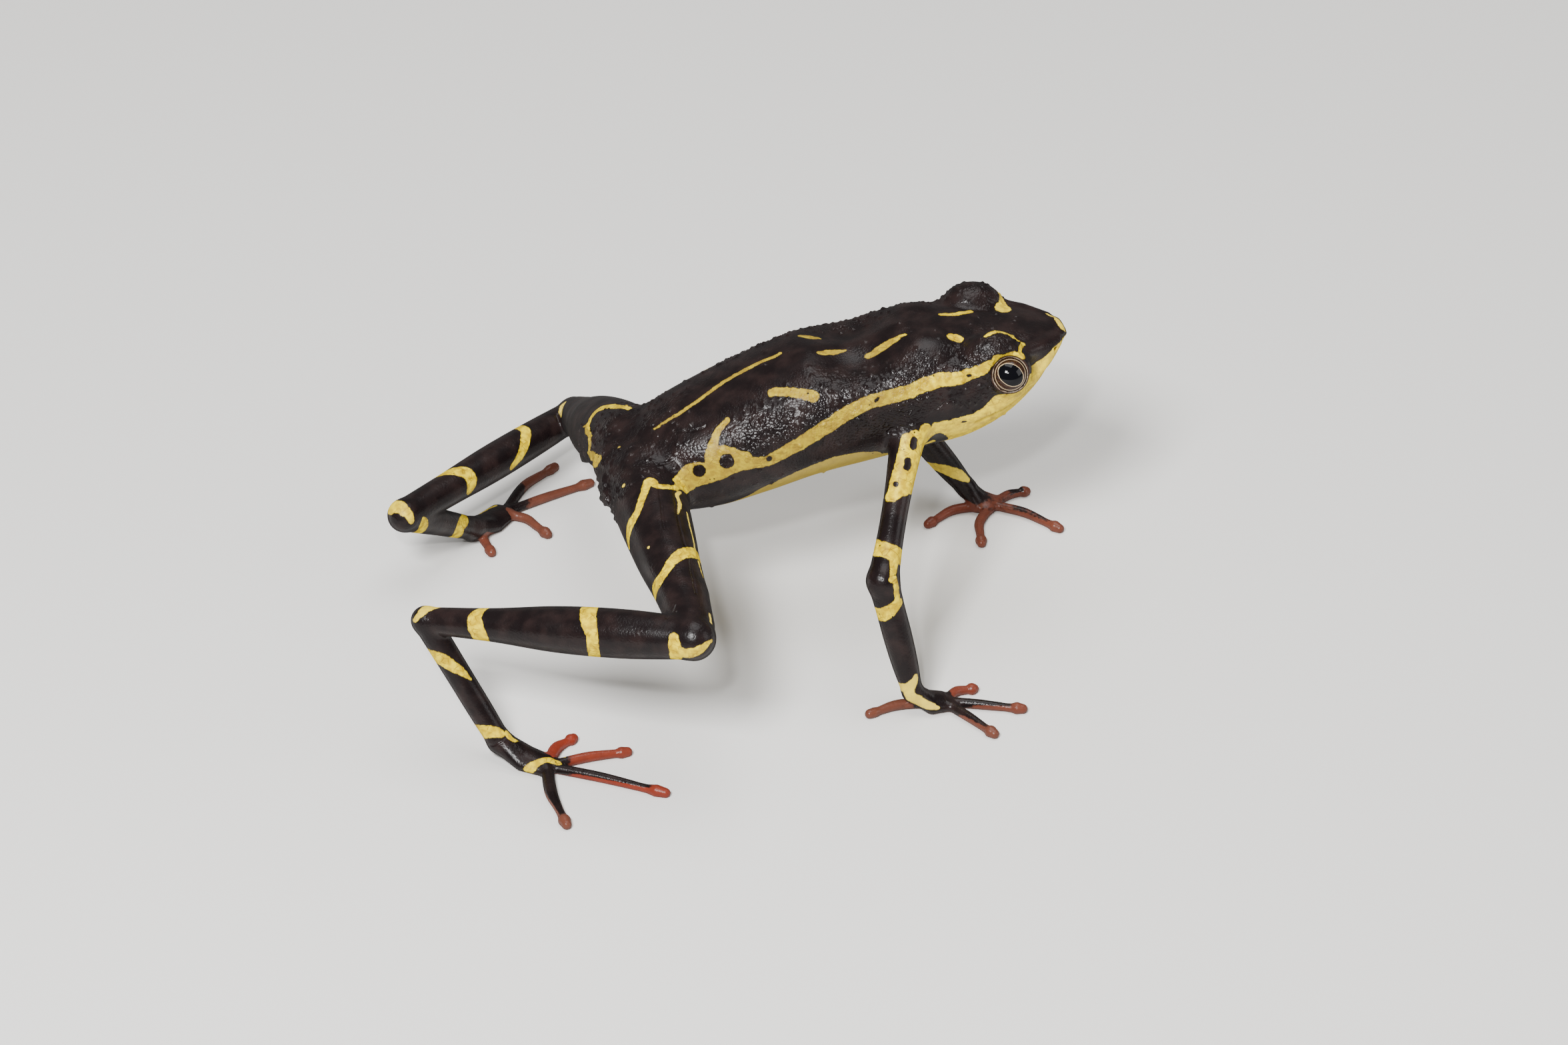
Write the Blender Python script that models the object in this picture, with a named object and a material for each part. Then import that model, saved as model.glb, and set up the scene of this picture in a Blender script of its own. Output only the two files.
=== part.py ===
"""A pebas stubfoot toad at life size, standing still on its four feet.

The toad faces +X, its left side is +Y and the floor is z = 0. Sizes are in
millimetres, measured forward of the vent, to the left of the spine and up from
the floor. The finished pieces are scaled to metres and moved so that the origin
lies on the floor under the middle of the toad's box.
"""
import math
from dataclasses import dataclass

import bmesh
import bpy
import numpy as np
from mathutils import Matrix, Vector

METRES = 0.001
GAP = 0.3  # room between neighbouring pieces
SAME_POINT = 0.001  # points nearer than this are one
ON_PLANE = 0.00001  # points nearer a cut than this lie on it
CREASE = math.radians(40.0)  # edges bent more than this stay sharp
FLOOR = Vector((0.0, 0.0, 0.0))
UP = Vector((0.0, 0.0, 1.0))

# Trunk and head, in sections across the spine:
# distance forward of the vent, top, bottom, half width, squareness.
BODY_ROWS = (
    (0.1, 11.6, 10.8, 0.4, 2.0),
    (0.5, 12.2, 9.9, 1.4, 2.0),
    (1.8, 12.9, 8.9, 2.5, 2.0),
    (4.0, 14.5, 8.5, 3.7, 2.1),
    (7.0, 15.9, 8.7, 4.4, 2.2),
    (10.0, 17.1, 9.5, 4.6, 2.3),
    (13.0, 18.1, 10.4, 4.6, 2.4),
    (16.5, 18.8, 11.0, 4.5, 2.4),
    (19.5, 19.1, 11.6, 4.5, 2.4),
    (22.0, 18.9, 12.0, 4.3, 2.4),
    (24.2, 18.6, 13.1, 3.9, 2.5),
    (26.2, 18.4, 14.8, 3.1, 2.5),
    (27.6, 18.1, 16.5, 1.9, 2.4),
    (28.4, 17.9, 17.1, 0.7, 2.2),
    (28.7, 17.5, 17.2, 0.3, 2.0),
)
BODY_SECTIONS = 34
BODY_SIDES = 24
BODY_TIP = 0.1  # how far the end points lie beyond the end sections
FINE_SECTIONS = 400  # sections for reading a width off the body
NEAR_EDGE = 0.97  # the farthest a level is taken toward a section's top or bottom
WIDEST = 0.5  # the widest level of a section, as a share of its height
NECK = 20.9  # where the head leaves the trunk

# The eyes sit in sockets under raised lids.
BALL_DETAIL = 16
EYE_DETAIL = 20
EYE_PLACE = (24.35, 3.75, 17.2)
EYE_RADIUS = 1.12
EYE_GAP = 0.2
RIM_PLACE = (24.35, 3.4, 17.2)
RIM_RADII = (1.55, 1.35, 1.5)  # the ring of lid around the eye
OPENING_RADIUS = 1.6  # the ball that opens the ring
OPENING_OUT = 1.75  # how far the opening's middle lies outside the eye's
LID_PLACE = (23.6, 2.8, 17.85)
LID_RADII = (1.85, 1.6, 1.6)
NOSTRIL_PLACE = (27.5, 1.85, 17.35)
NOSTRIL_RADII = (0.22, 0.4, 0.17)
NOSTRIL_DETAIL = 8
CANTHUS_BACK = (25.4, 2.7, 17.75)
CANTHUS_FRONT = (27.6, 1.4, 17.6)
CANTHUS_RADIUS = 0.4
# The mouth line: distance forward of the vent and level above the floor.
MOUTH_LINE = ((22.4, 14.3), (24.2, 14.8), (26.2, 15.8), (27.4, 16.7), (28.0, 17.05), (28.35, 17.2))
MOUTH_STEPS = 12
MOUTH_HALF_FRONT = 0.12  # half the width of the mouth line at the snout's tip
MOUTH_GROOVE = 0.15
STRAND_SIDES = 8
LIP_RISE = 0.44  # from the mouth line up to the middle of the lip
LIP_RADIUS = 0.34
LIP_SUNK = 0.22  # how far the middle of the lip lies under the skin

# Arm segments: half thickness from the upper joint to the lower one.
UPPER_ARM_GIRTH = (1.2, 0.95, 0.8, 0.8, 0.93)
FOREARM_GIRTH = (0.93, 0.87, 0.86, 0.78, 0.6)
LIMB_SECTIONS = 9
LIMB_SIDES = 12
CAP_TURNS = (0.6, 1.15)  # where a rounded end has its rings, in radians

# Palms and soles: half width and half height, from the joint to the front.
PALM_ROOT = 0.55
SOLE_ROOT = 0.68
PLATE_MIDDLE = (1.0, 0.55)
PLATE_FRONT = (0.9, 0.42)
PLATE_BEND = 0.55  # where the plate levels out, as a share of its length
PLATE_LEVEL = 0.45

# Digits: half width, and how far along from the knuckle to the tip.
ROOT = 0.3
KNUCKLE = 0.3
SHAFT = 0.28
SHAFT_AT = 0.4
PAD = 0.38
PAD_AT = 0.72
TIP = 0.32
DIGIT_SECTIONS = 9
DIGIT_SIDES = 8
DIGIT_LEVEL = 0.24  # the middle of a digit above the floor
DIGIT_FLATNESS = 0.95
DIGIT_SUNK = 0.5  # how far a digit's root starts inside the palm or sole

# Skin and eye colours: red, green, blue, roughness.
FINISHES = {
    "skin": (0.030, 0.022, 0.034, 0.35),
    "digits": (0.50, 0.09, 0.05, 0.4),
    "eye": (0.05, 0.02, 0.012, 0.08),
}


@dataclass(frozen=True)
class Side:
    """Joints and digit paths of one side of the toad."""

    name: str
    shoulder: tuple
    elbow: tuple
    wrist: tuple
    palm: tuple
    hip: tuple
    knee: tuple
    heel: tuple
    ankle: tuple
    sole: tuple
    fingers: dict
    toes: dict
    thigh_girth: tuple  # half thickness from the upper joint to the lower one
    shank_girth: tuple
    tarsus_girth: tuple


RIGHT = Side(
    name="right",
    shoulder=(18.6, -3.3, 14.6),
    elbow=(15.45, -10.6, 8.2),
    wrist=(16.9, -12.6, 1.4),
    palm=(18.8, -12.5, 0.35),
    hip=(2.7, -2.2, 11.0),
    knee=(2.9, -17.8, 10.8),
    heel=(-11.44, -9.52, 8.18),
    ankle=(-7.75, -12.55, 1.15),
    sole=(-5.3, -14.4, 0.4),
    fingers={
        1: ((15.6, -12.4), (14.3, -12.8)),
        2: ((19.9, -11.6), (20.9, -11.5)),
        3: ((21.0, -13.2), (23.3, -14.0)),
        4: ((20.0, -14.3), (21.1, -16.1)),
    },
    toes={
        2: ((-4.3, -12.6), (-3.3, -11.9)),
        3: ((-2.4, -13.9), (-0.4, -13.8)),
        4: ((-2.0, -16.2), (1.1, -18.1)),
        5: ((-5.4, -17.2), (-5.0, -20.0)),
    },
    thigh_girth=(2.3, 2.12, 1.82, 1.34, 1.2),
    shank_girth=(1.2, 1.42, 1.35, 0.98, 0.78),
    tarsus_girth=(0.74, 0.67, 0.7, 0.74, 0.68),
)
LEFT = Side(
    name="left",
    shoulder=(18.6, 3.3, 14.6),
    elbow=(20.5, 9.1, 7.1),
    wrist=(24.7, 7.8, 1.4),
    palm=(26.2, 7.2, 0.35),
    hip=(2.7, 2.2, 11.0),
    knee=(1.4, 16.2, 4.3),
    heel=(-10.7, 5.8, 5.15),
    ankle=(-6.2, 9.5, 1.1),
    sole=(-3.9, 11.9, 0.4),
    fingers={
        1: ((23.4, 6.9), (21.9, 5.9)),
        2: ((24.95, 5.1), (24.7, 3.25)),
        3: ((28.2, 5.8), (29.8, 3.9)),
        4: ((27.7, 8.1), (28.7, 8.3)),
    },
    toes={
        2: ((-5.5, 9.4), (-5.2, 7.9)),
        3: ((-2.5, 11.0), (-1.5, 9.2)),
        4: ((-0.75, 13.25), (2.0, 14.3)),
        5: ((-1.75, 15.05), (0.1, 16.5)),
    },
    thigh_girth=(2.3, 2.3, 2.05, 1.5, 1.05),
    shank_girth=(0.95, 1.1, 1.15, 1.04, 0.98),
    tarsus_girth=(0.98, 0.92, 0.84, 0.78, 0.7),
)


def clear_scene():
    """Remove every object of the scene."""
    for thing in list(bpy.data.objects):
        bpy.data.objects.remove(thing)


def smooth_rows(rows, count):
    """Read rows evenly along a smooth curve through a short table of rows."""
    rows = np.array(rows, dtype=float)
    knots = np.r_[0.0, np.cumsum(np.linalg.norm(np.diff(rows, axis=0), axis=1))]
    slopes = np.gradient(rows, knots, axis=0)
    places = np.linspace(0.0, knots[-1], count)
    cell = np.clip(np.searchsorted(knots, places, side="right") - 1, 0, len(knots) - 2)
    span = (knots[cell + 1] - knots[cell])[:, None]
    part = (places - knots[cell])[:, None] / span
    rise = part * part * (3.0 - 2.0 * part)
    leave = part * (1.0 - part) ** 2 * span
    reach = part * part * (part - 1.0) * span
    return (
        rows[cell] * (1.0 - rise)
        + rows[cell + 1] * rise
        + slopes[cell] * leave
        + slopes[cell + 1] * reach
    )


def skin_rings(rings, tips):
    """Return a closed bmesh over rings of points, with a point at each end."""
    mesh = bmesh.new()
    loops = [[mesh.verts.new(point) for point in ring] for ring in rings]
    for low, high in zip(loops[:-1], loops[1:]):
        for index in range(len(low)):
            after = (index + 1) % len(low)
            mesh.faces.new((low[index], low[after], high[after], high[index]))
    for loop, tip in ((loops[0], tips[0]), (loops[-1], tips[1])):
        peak = mesh.verts.new(tip)
        for index in range(len(loop)):
            mesh.faces.new((loop[index], loop[(index + 1) % len(loop)], peak))
    bmesh.ops.recalc_face_normals(mesh, faces=mesh.faces)
    return mesh


def body_point(row, turn, grow=0.0):
    """Return the point of a body section at a turn from its left side."""
    forward, top, bottom, half_width, squareness = row
    middle = bottom + WIDEST * (top - bottom)
    across = math.copysign(abs(math.cos(turn)) ** (2.0 / squareness), math.cos(turn))
    lift = math.copysign(abs(math.sin(turn)) ** (2.0 / squareness), math.sin(turn))
    half_height = top - middle if lift > 0.0 else middle - bottom
    return Vector((forward, (half_width + grow) * across, middle + (half_height + grow) * lift))


def body(grow=0.0):
    """Return the trunk and head in one piece, swollen by grow."""
    rows = smooth_rows(BODY_ROWS, BODY_SECTIONS)
    turns = [2.0 * math.pi * (side + 0.5) / BODY_SIDES for side in range(BODY_SIDES)]
    rings = [[body_point(row, turn, grow) for turn in turns] for row in rows]
    tips = []
    for row, way in ((rows[0], -1.0), (rows[-1], 1.0)):
        tips.append(Vector((row[0] + way * (BODY_TIP + grow), 0.0, 0.5 * (row[1] + row[2]))))
    return skin_rings(rings, tips)


def tube(rows, sections, sides, grow=0.0):
    """Return a limb along rows of x, y, z, half width and half height."""
    rows = smooth_rows(rows, sections)
    centres = rows[:, :3]
    tangents = np.gradient(centres, axis=0)
    rings = []
    tips = []
    for place, (row, tangent) in enumerate(zip(rows, tangents)):
        along = Vector(tangent).normalized()
        across = along.cross(UP).normalized()
        lift = across.cross(along)
        centre = Vector(row[:3])
        width = row[3] + grow
        height = row[4] + grow
        ring = []
        for side in range(sides):
            turn = 2.0 * math.pi * (side + 0.5) / sides
            ring.append((across * width * math.cos(turn), lift * height * math.sin(turn)))
        cap = {0: -along, sections - 1: along}.get(place)
        slices = [(1.0, 0.0)]
        if cap is not None:
            slices += [(math.cos(turn), math.sin(turn)) for turn in CAP_TURNS]
            tips.append(centre + cap * height)
        if place == 0:
            slices.reverse()
        for size, step in slices:
            shift = cap * height * step if cap is not None else Vector()
            rings.append([centre + shift + (a + b) * size for a, b in ring])
    return skin_rings(rings, tips)


def segment_rows(start, end, girth):
    """Return tube rows for a straight limb segment between two joints."""
    start = Vector(start)
    end = Vector(end)
    rows = []
    for step, half in enumerate(girth):
        centre = start.lerp(end, step / (len(girth) - 1))
        rows.append((*centre, half, half))
    return rows


def plate_rows(root, front, root_girth):
    """Return tube rows for a palm or sole that flattens from its joint to its front."""
    bend = Vector(root).lerp(Vector(front), PLATE_BEND)
    return [
        (*root, root_girth, root_girth),
        (bend.x, bend.y, PLATE_LEVEL, *PLATE_MIDDLE),
        (*front, *PLATE_FRONT),
    ]


def digit_rows(palm, knuckle, tip):
    """Return tube rows for a digit from inside the palm over its knuckle to its tip."""
    knuckle = Vector((*knuckle, DIGIT_LEVEL))
    tip = Vector((*tip, DIGIT_LEVEL))
    centre = Vector((*Vector(palm).xy, DIGIT_LEVEL))
    root = centre + (knuckle - centre).normalized() * DIGIT_SUNK
    shaft = knuckle.lerp(tip, SHAFT_AT)
    pad = knuckle.lerp(tip, PAD_AT)
    widths = ((root, ROOT), (knuckle, KNUCKLE), (shaft, SHAFT), (pad, PAD), (tip, TIP))
    return [(*point, half, half * DIGIT_FLATNESS) for point, half in widths]


def ball(centre, radii, detail=BALL_DETAIL):
    """Return a closed ellipsoid."""
    mesh = bmesh.new()
    bmesh.ops.create_uvsphere(mesh, u_segments=detail, v_segments=detail // 2 + 2, radius=1.0)
    bmesh.ops.transform(mesh, matrix=Matrix.Diagonal((*radii, 1.0)), verts=mesh.verts)
    bmesh.ops.translate(mesh, vec=centre, verts=mesh.verts)
    return mesh


def cut_plane(mesh, point, outward):
    """Cut a mesh flat, dropping what lies on the outward side of a plane."""
    geometry = mesh.verts[:] + mesh.edges[:] + mesh.faces[:]
    bmesh.ops.bisect_plane(
        mesh, geom=geometry, plane_co=point, plane_no=outward, clear_outer=True, dist=ON_PLANE
    )
    open_edges = [edge for edge in mesh.edges if edge.is_boundary]
    bmesh.ops.holes_fill(mesh, edges=open_edges)
    return mesh


def part_at_joint(mesh, here, joint, there):
    """Cut a segment where it meets the next, half a gap short of their shared plane."""
    joint = Vector(joint)
    outward = (Vector(there) - joint).normalized() - (Vector(here) - joint).normalized()
    outward.normalize()
    return cut_plane(mesh, joint - outward * GAP / 2.0, outward)


def object_of(name, mesh):
    """Put a bmesh in a scene object and free it."""
    data = bpy.data.meshes.new(name)
    mesh.to_mesh(data)
    mesh.free()
    thing = bpy.data.objects.new(name, data)
    bpy.context.scene.collection.objects.link(thing)
    return thing


def combine(mesh, others, operation, solver="EXACT"):
    """Join others to a mesh, or cut them from it, and return the new bmesh."""
    base = object_of("base", mesh)
    helpers = [object_of("helper", other) for other in others]
    for helper in helpers:
        modifier = base.modifiers.new("shape", "BOOLEAN")
        modifier.operation = operation
        modifier.solver = solver
        modifier.object = helper
    bpy.context.view_layer.update()
    shaped = base.evaluated_get(bpy.context.evaluated_depsgraph_get())
    result = bmesh.new()
    result.from_mesh(shaped.to_mesh())
    for thing in [base, *helpers]:
        bpy.data.objects.remove(thing)
    return result


def keep_largest(mesh):
    """Drop every loose piece but the one of the largest box."""
    left = set(mesh.verts)
    pieces = []
    while left:
        piece = set()
        edge_of_piece = [left.pop()]
        while edge_of_piece:
            vert = edge_of_piece.pop()
            piece.add(vert)
            for edge in vert.link_edges:
                other = edge.other_vert(vert)
                if other in left:
                    left.discard(other)
                    edge_of_piece.append(other)
        pieces.append(piece)

    def spread(piece):
        low = [min(vert.co[axis] for vert in piece) for axis in range(3)]
        high = [max(vert.co[axis] for vert in piece) for axis in range(3)]
        return math.dist(low, high)

    pieces.sort(key=spread)
    scraps = [vert for piece in pieces[:-1] for vert in piece]
    bmesh.ops.delete(mesh, geom=scraps, context="VERTS")


def finish_of(name):
    """Return the material of a finish, made once."""
    material = bpy.data.materials.get(name)
    if material is None:
        material = bpy.data.materials.new(name)
        material.use_nodes = True
        shader = material.node_tree.nodes["Principled BSDF"]
        red, green, blue, roughness = FINISHES[name]
        shader.inputs["Base Color"].default_value = (red, green, blue, 1.0)
        shader.inputs["Roughness"].default_value = roughness
        shader.inputs["Metallic"].default_value = 0.0
        material.diffuse_color = (red, green, blue, 1.0)
    return material


def place(name, mesh, finish):
    """Turn a millimetre bmesh into a named node in metres."""
    keep_largest(mesh)
    bmesh.ops.remove_doubles(mesh, verts=mesh.verts, dist=SAME_POINT)
    bmesh.ops.triangulate(mesh, faces=mesh.faces)
    bmesh.ops.recalc_face_normals(mesh, faces=mesh.faces)
    bmesh.ops.scale(mesh, vec=(METRES, METRES, METRES), verts=mesh.verts)
    thing = object_of(name, mesh)
    thing.data.materials.append(finish_of(finish))
    thing.data.shade_smooth()
    thing.data.set_sharp_from_angle(angle=CREASE)
    return thing


def mirror_point(point, side):
    """Return a right-hand or left-hand copy of a point given for the left."""
    return Vector((point[0], side * point[1], point[2]))


def mouth_path(lift, sunk):
    """Return points along the mouth, lifted and sunk from it, from left jaw to right jaw."""
    rows = smooth_rows(BODY_ROWS, FINE_SECTIONS)
    line = np.array(MOUTH_LINE)
    left = []
    for forward in np.linspace(line[0, 0], line[-1, 0], MOUTH_STEPS):
        row = rows[np.argmin(abs(rows[:, 0] - forward))]
        level = np.interp(forward, line[:, 0], line[:, 1]) + lift
        middle = row[2] + WIDEST * (row[1] - row[2])
        half = row[1] - middle if level > middle else middle - row[2]
        share = min(abs(level - middle) / half, NEAR_EDGE) ** row[4]
        width = row[3] * (1.0 - share) ** (1.0 / row[4]) - sunk
        left.append((forward - sunk, max(width, MOUTH_HALF_FRONT), level))
    right = [(x, -y, z) for x, y, z in reversed(left)]
    return left + right


def strand(points, radius):
    """Return a round strand through points."""
    rows = [(*point, radius, radius) for point in points]
    return tube(rows, 2 * len(points), STRAND_SIDES)


def head():
    """Return the head with its sockets, lids, canthal ridges, lips and nostrils."""
    mesh = cut_plane(body(), Vector((NECK + GAP / 2.0, 0.0, 0.0)), Vector((-1.0, 0.0, 0.0)))
    added = []
    removed = []
    for side in (1.0, -1.0):
        eye = mirror_point(EYE_PLACE, side)
        added.append(ball(mirror_point(RIM_PLACE, side), RIM_RADII))
        added.append(ball(mirror_point(LID_PLACE, side), LID_RADII))
        nostril = mirror_point(NOSTRIL_PLACE, side)
        ridge = [mirror_point(CANTHUS_BACK, side), mirror_point(CANTHUS_FRONT, side)]
        added.append(strand(ridge, CANTHUS_RADIUS))
        removed.append(ball(eye, (EYE_RADIUS + EYE_GAP,) * 3))
        window = eye + Vector((0.0, OPENING_OUT * side, 0.0))
        removed.append(ball(window, (OPENING_RADIUS,) * 3))
        removed.append(ball(nostril, NOSTRIL_RADII, NOSTRIL_DETAIL))
    added.append(strand(mouth_path(LIP_RISE, LIP_SUNK), LIP_RADIUS))
    mesh = combine(mesh, added, "UNION", "MANIFOLD")
    removed.append(strand(mouth_path(0.0, 0.0), MOUTH_GROOVE))
    return combine(mesh, removed, "DIFFERENCE", "MANIFOLD")


def torso():
    """Return the trunk, cut square at the neck."""
    return cut_plane(body(), Vector((NECK - GAP / 2.0, 0.0, 0.0)), Vector((1.0, 0.0, 0.0)))


def digits(side, kind, palm, paths, rows):
    """Place the fingers or toes around the palm or sole that follows the given rows."""
    for number, (knuckle, tip) in paths.items():
        mesh = tube(digit_rows(palm, knuckle, tip), DIGIT_SECTIONS, DIGIT_SIDES)
        cut_plane(mesh, FLOOR, -UP)
        plate = tube(rows, LIMB_SECTIONS, LIMB_SIDES, GAP)
        mesh = combine(mesh, [plate], "DIFFERENCE")
        place(f"{kind}_{number}_{side.name}", mesh, "digits")


def arm(side):
    """Place the upper arm, forearm, hand and fingers of one side."""
    rows = segment_rows(side.shoulder, side.elbow, UPPER_ARM_GIRTH)
    mesh = tube(rows, LIMB_SECTIONS, LIMB_SIDES)
    part_at_joint(mesh, side.shoulder, side.elbow, side.wrist)
    place(f"upper_arm_{side.name}", combine(mesh, [body(GAP)], "DIFFERENCE"), "skin")

    mesh = tube(segment_rows(side.elbow, side.wrist, FOREARM_GIRTH), LIMB_SECTIONS, LIMB_SIDES)
    part_at_joint(mesh, side.wrist, side.elbow, side.shoulder)
    part_at_joint(mesh, side.elbow, side.wrist, side.palm)
    place(f"forearm_{side.name}", mesh, "skin")

    rows = plate_rows(side.wrist, side.palm, PALM_ROOT)
    mesh = tube(rows, LIMB_SECTIONS, LIMB_SIDES)
    part_at_joint(mesh, side.palm, side.wrist, side.elbow)
    cut_plane(mesh, FLOOR, -UP)
    place(f"hand_{side.name}", mesh, "skin")
    digits(side, "finger", side.palm, side.fingers, rows)


def leg(side):
    """Place the thigh, shank, tarsus, foot and toes of one side."""
    mesh = tube(segment_rows(side.hip, side.knee, side.thigh_girth), LIMB_SECTIONS, LIMB_SIDES)
    part_at_joint(mesh, side.hip, side.knee, side.heel)
    place(f"thigh_{side.name}", combine(mesh, [body(GAP)], "DIFFERENCE"), "skin")

    rows = segment_rows(side.knee, side.heel, side.shank_girth)
    mesh = tube(rows, LIMB_SECTIONS, LIMB_SIDES)
    part_at_joint(mesh, side.heel, side.knee, side.hip)
    part_at_joint(mesh, side.knee, side.heel, side.ankle)
    place(f"shank_{side.name}", mesh, "skin")

    rows = segment_rows(side.heel, side.ankle, side.tarsus_girth)
    mesh = tube(rows, LIMB_SECTIONS, LIMB_SIDES)
    part_at_joint(mesh, side.ankle, side.heel, side.knee)
    part_at_joint(mesh, side.heel, side.ankle, side.sole)
    place(f"tarsus_{side.name}", mesh, "skin")

    rows = plate_rows(side.ankle, side.sole, SOLE_ROOT)
    mesh = tube(rows, LIMB_SECTIONS, LIMB_SIDES)
    part_at_joint(mesh, side.sole, side.ankle, side.heel)
    cut_plane(mesh, FLOOR, -UP)
    place(f"foot_{side.name}", mesh, "skin")
    digits(side, "toe", side.sole, side.toes, rows)


def centre_on_floor():
    """Move every piece so that the origin is under the middle of the toad's box."""
    things = [thing for thing in bpy.data.objects if thing.type == "MESH"]
    points = np.array([vert.co for thing in things for vert in thing.data.vertices])
    middle = (points.min(axis=0) + points.max(axis=0)) / 2.0
    for thing in things:
        thing.data.transform(Matrix.Translation((-middle[0], -middle[1], 0.0)))


def main():
    """Build the toad."""
    clear_scene()
    place("torso", torso(), "skin")
    place("head", head(), "skin")
    for side, way in ((LEFT, 1.0), (RIGHT, -1.0)):
        eye = ball(mirror_point(EYE_PLACE, way), (EYE_RADIUS,) * 3, EYE_DETAIL)
        place(f"eye_{side.name}", eye, "eye")
        arm(side)
        leg(side)
    centre_on_floor()


if __name__ == "__main__":
    main()
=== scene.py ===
"""A pebas stubfoot toad as a life-size museum model: its skin, markings, eyes and studio.

The skin is modelled like clay: rounded forms are joined and carved as distances on a fine
grid, and one closed surface is drawn through them. Sizes are in millimetres, measured forward
of the vent (x), to the toad's left (y) and up from the floor (z). Finished pieces are scaled to
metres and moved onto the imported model.
"""
import logging
import math
from dataclasses import dataclass
from enum import Enum
from typing import Protocol, Sequence, Union

import bmesh
import bpy
import numpy as np
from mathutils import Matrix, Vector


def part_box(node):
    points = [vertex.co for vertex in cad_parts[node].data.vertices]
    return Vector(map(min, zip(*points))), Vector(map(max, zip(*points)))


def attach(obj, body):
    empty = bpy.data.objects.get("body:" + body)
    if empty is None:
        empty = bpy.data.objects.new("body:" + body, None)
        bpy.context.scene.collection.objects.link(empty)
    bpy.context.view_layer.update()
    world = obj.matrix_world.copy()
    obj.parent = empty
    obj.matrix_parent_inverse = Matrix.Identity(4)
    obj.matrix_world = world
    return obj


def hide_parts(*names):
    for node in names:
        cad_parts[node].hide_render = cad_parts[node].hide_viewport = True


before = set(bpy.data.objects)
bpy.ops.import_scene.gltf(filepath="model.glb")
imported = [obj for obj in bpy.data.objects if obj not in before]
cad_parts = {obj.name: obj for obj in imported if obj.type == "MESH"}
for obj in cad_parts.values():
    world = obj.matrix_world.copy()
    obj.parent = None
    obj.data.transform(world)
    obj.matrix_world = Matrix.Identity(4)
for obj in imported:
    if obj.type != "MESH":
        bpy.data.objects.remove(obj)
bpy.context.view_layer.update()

import openvdb
from mathutils import Matrix, Vector

LOG = logging.getLogger("toad")
METRES = 0.001
FAR = 9.0  # a distance beyond the reach of every form
FLATTEST = 1e-4  # the least slope of a distance, so that nothing is divided by zero
SHORTEST = 1e-9  # the least squared length of a rope's stretch
FINE_ROWS = 400  # how finely the trunk's sections and the bones' girths are read
BAND_CELLS = 4.0  # how many cells from the skin the clay's distances are kept
Point = tuple[float, float, float]
Span = tuple[float, float]
Place = Union[tuple[float, float], Point]
Colour = tuple[float, float, float, float]
Values = np.ndarray
Box = tuple[np.ndarray, np.ndarray]


class Side(Enum):
    """The two sides of the toad, as the sign of y."""

    LEFT = 1.0
    RIGHT = -1.0

    def mirrored(self, point: Point) -> Point:
        """Return a point or direction given for the left on this side."""
        return (point[0], point[1] * self.value, point[2])


class Form(Protocol):
    """A solid form that knows its box and its signed distance."""

    def box(self) -> Box:
        """Return the lowest and highest corners in millimetres."""

    def distance(self, places: Sequence[Values]) -> Values:
        """Return how far points, given as their x, y and z, lie outside, negative inside."""


def box_round(points: Sequence[Point], reach: Union[float, Sequence[float], Values]) -> Box:
    """Return the lowest and highest corners of a box round points, with room beside them."""
    places = np.array(points)
    return (places - reach).min(axis=0), (places + reach).max(axis=0)


def smooth_table(rows: Sequence[Sequence[float]], count: int) -> Values:
    """Read rows evenly along a smooth curve through a short table.

    Args:
        rows: The table, one row for each place.
        count: How many rows to return.

    Returns:
        The finer table.
    """
    table = np.array(rows, dtype=float)
    knots = np.r_[0.0, np.cumsum(np.linalg.norm(np.diff(table, axis=0), axis=1))]
    slopes = np.gradient(table, knots, axis=0)
    places = np.linspace(0.0, knots[-1], count)
    cell = np.clip(np.searchsorted(knots, places, side="right") - 1, 0, len(knots) - 2)
    span = (knots[cell + 1] - knots[cell])[:, None]
    part = (places - knots[cell])[:, None] / span
    rise = part * part * (3.0 - 2.0 * part)
    leave = part * (1.0 - part) ** 2 * span
    reach = part * part * (part - 1.0) * span
    return (
        table[cell] * (1.0 - rise)
        + table[cell + 1] * rise
        + slopes[cell] * leave
        + slopes[cell + 1] * reach
    )


def smooth_step(low: float, high: float, values: Values) -> Values:
    """Return 0 beyond low and 1 beyond high with a soft rise between them."""
    part = np.clip((values - low) / (high - low), 0.0, 1.0)
    return part * part * (3.0 - 2.0 * part)


@dataclass(frozen=True)
class Ball:
    """An ellipsoid along the axes."""

    centre: Point
    radii: Point

    def on(self, side: Side) -> "Ball":
        """Return the ball, which is given for the left, on one side."""
        return Ball(side.mirrored(self.centre), self.radii)

    def box(self) -> Box:
        """Return the lowest and highest corners."""
        return box_round([self.centre], self.radii)

    def distance(self, places: Sequence[Values]) -> Values:
        """Measure how far points lie from the surface.

        Args:
            places: The points' x, y and z.

        Returns:
            The distances, negative inside.
        """
        far = 0.0
        steep = 0.0
        for value, middle, radius in zip(places, self.centre, self.radii):
            share = (value - middle) / radius
            far = far + share * share
            steep = steep + (share / radius) ** 2
        far = np.sqrt(far)
        return far * (far - 1.0) / np.maximum(np.sqrt(steep), FLATTEST)


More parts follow.
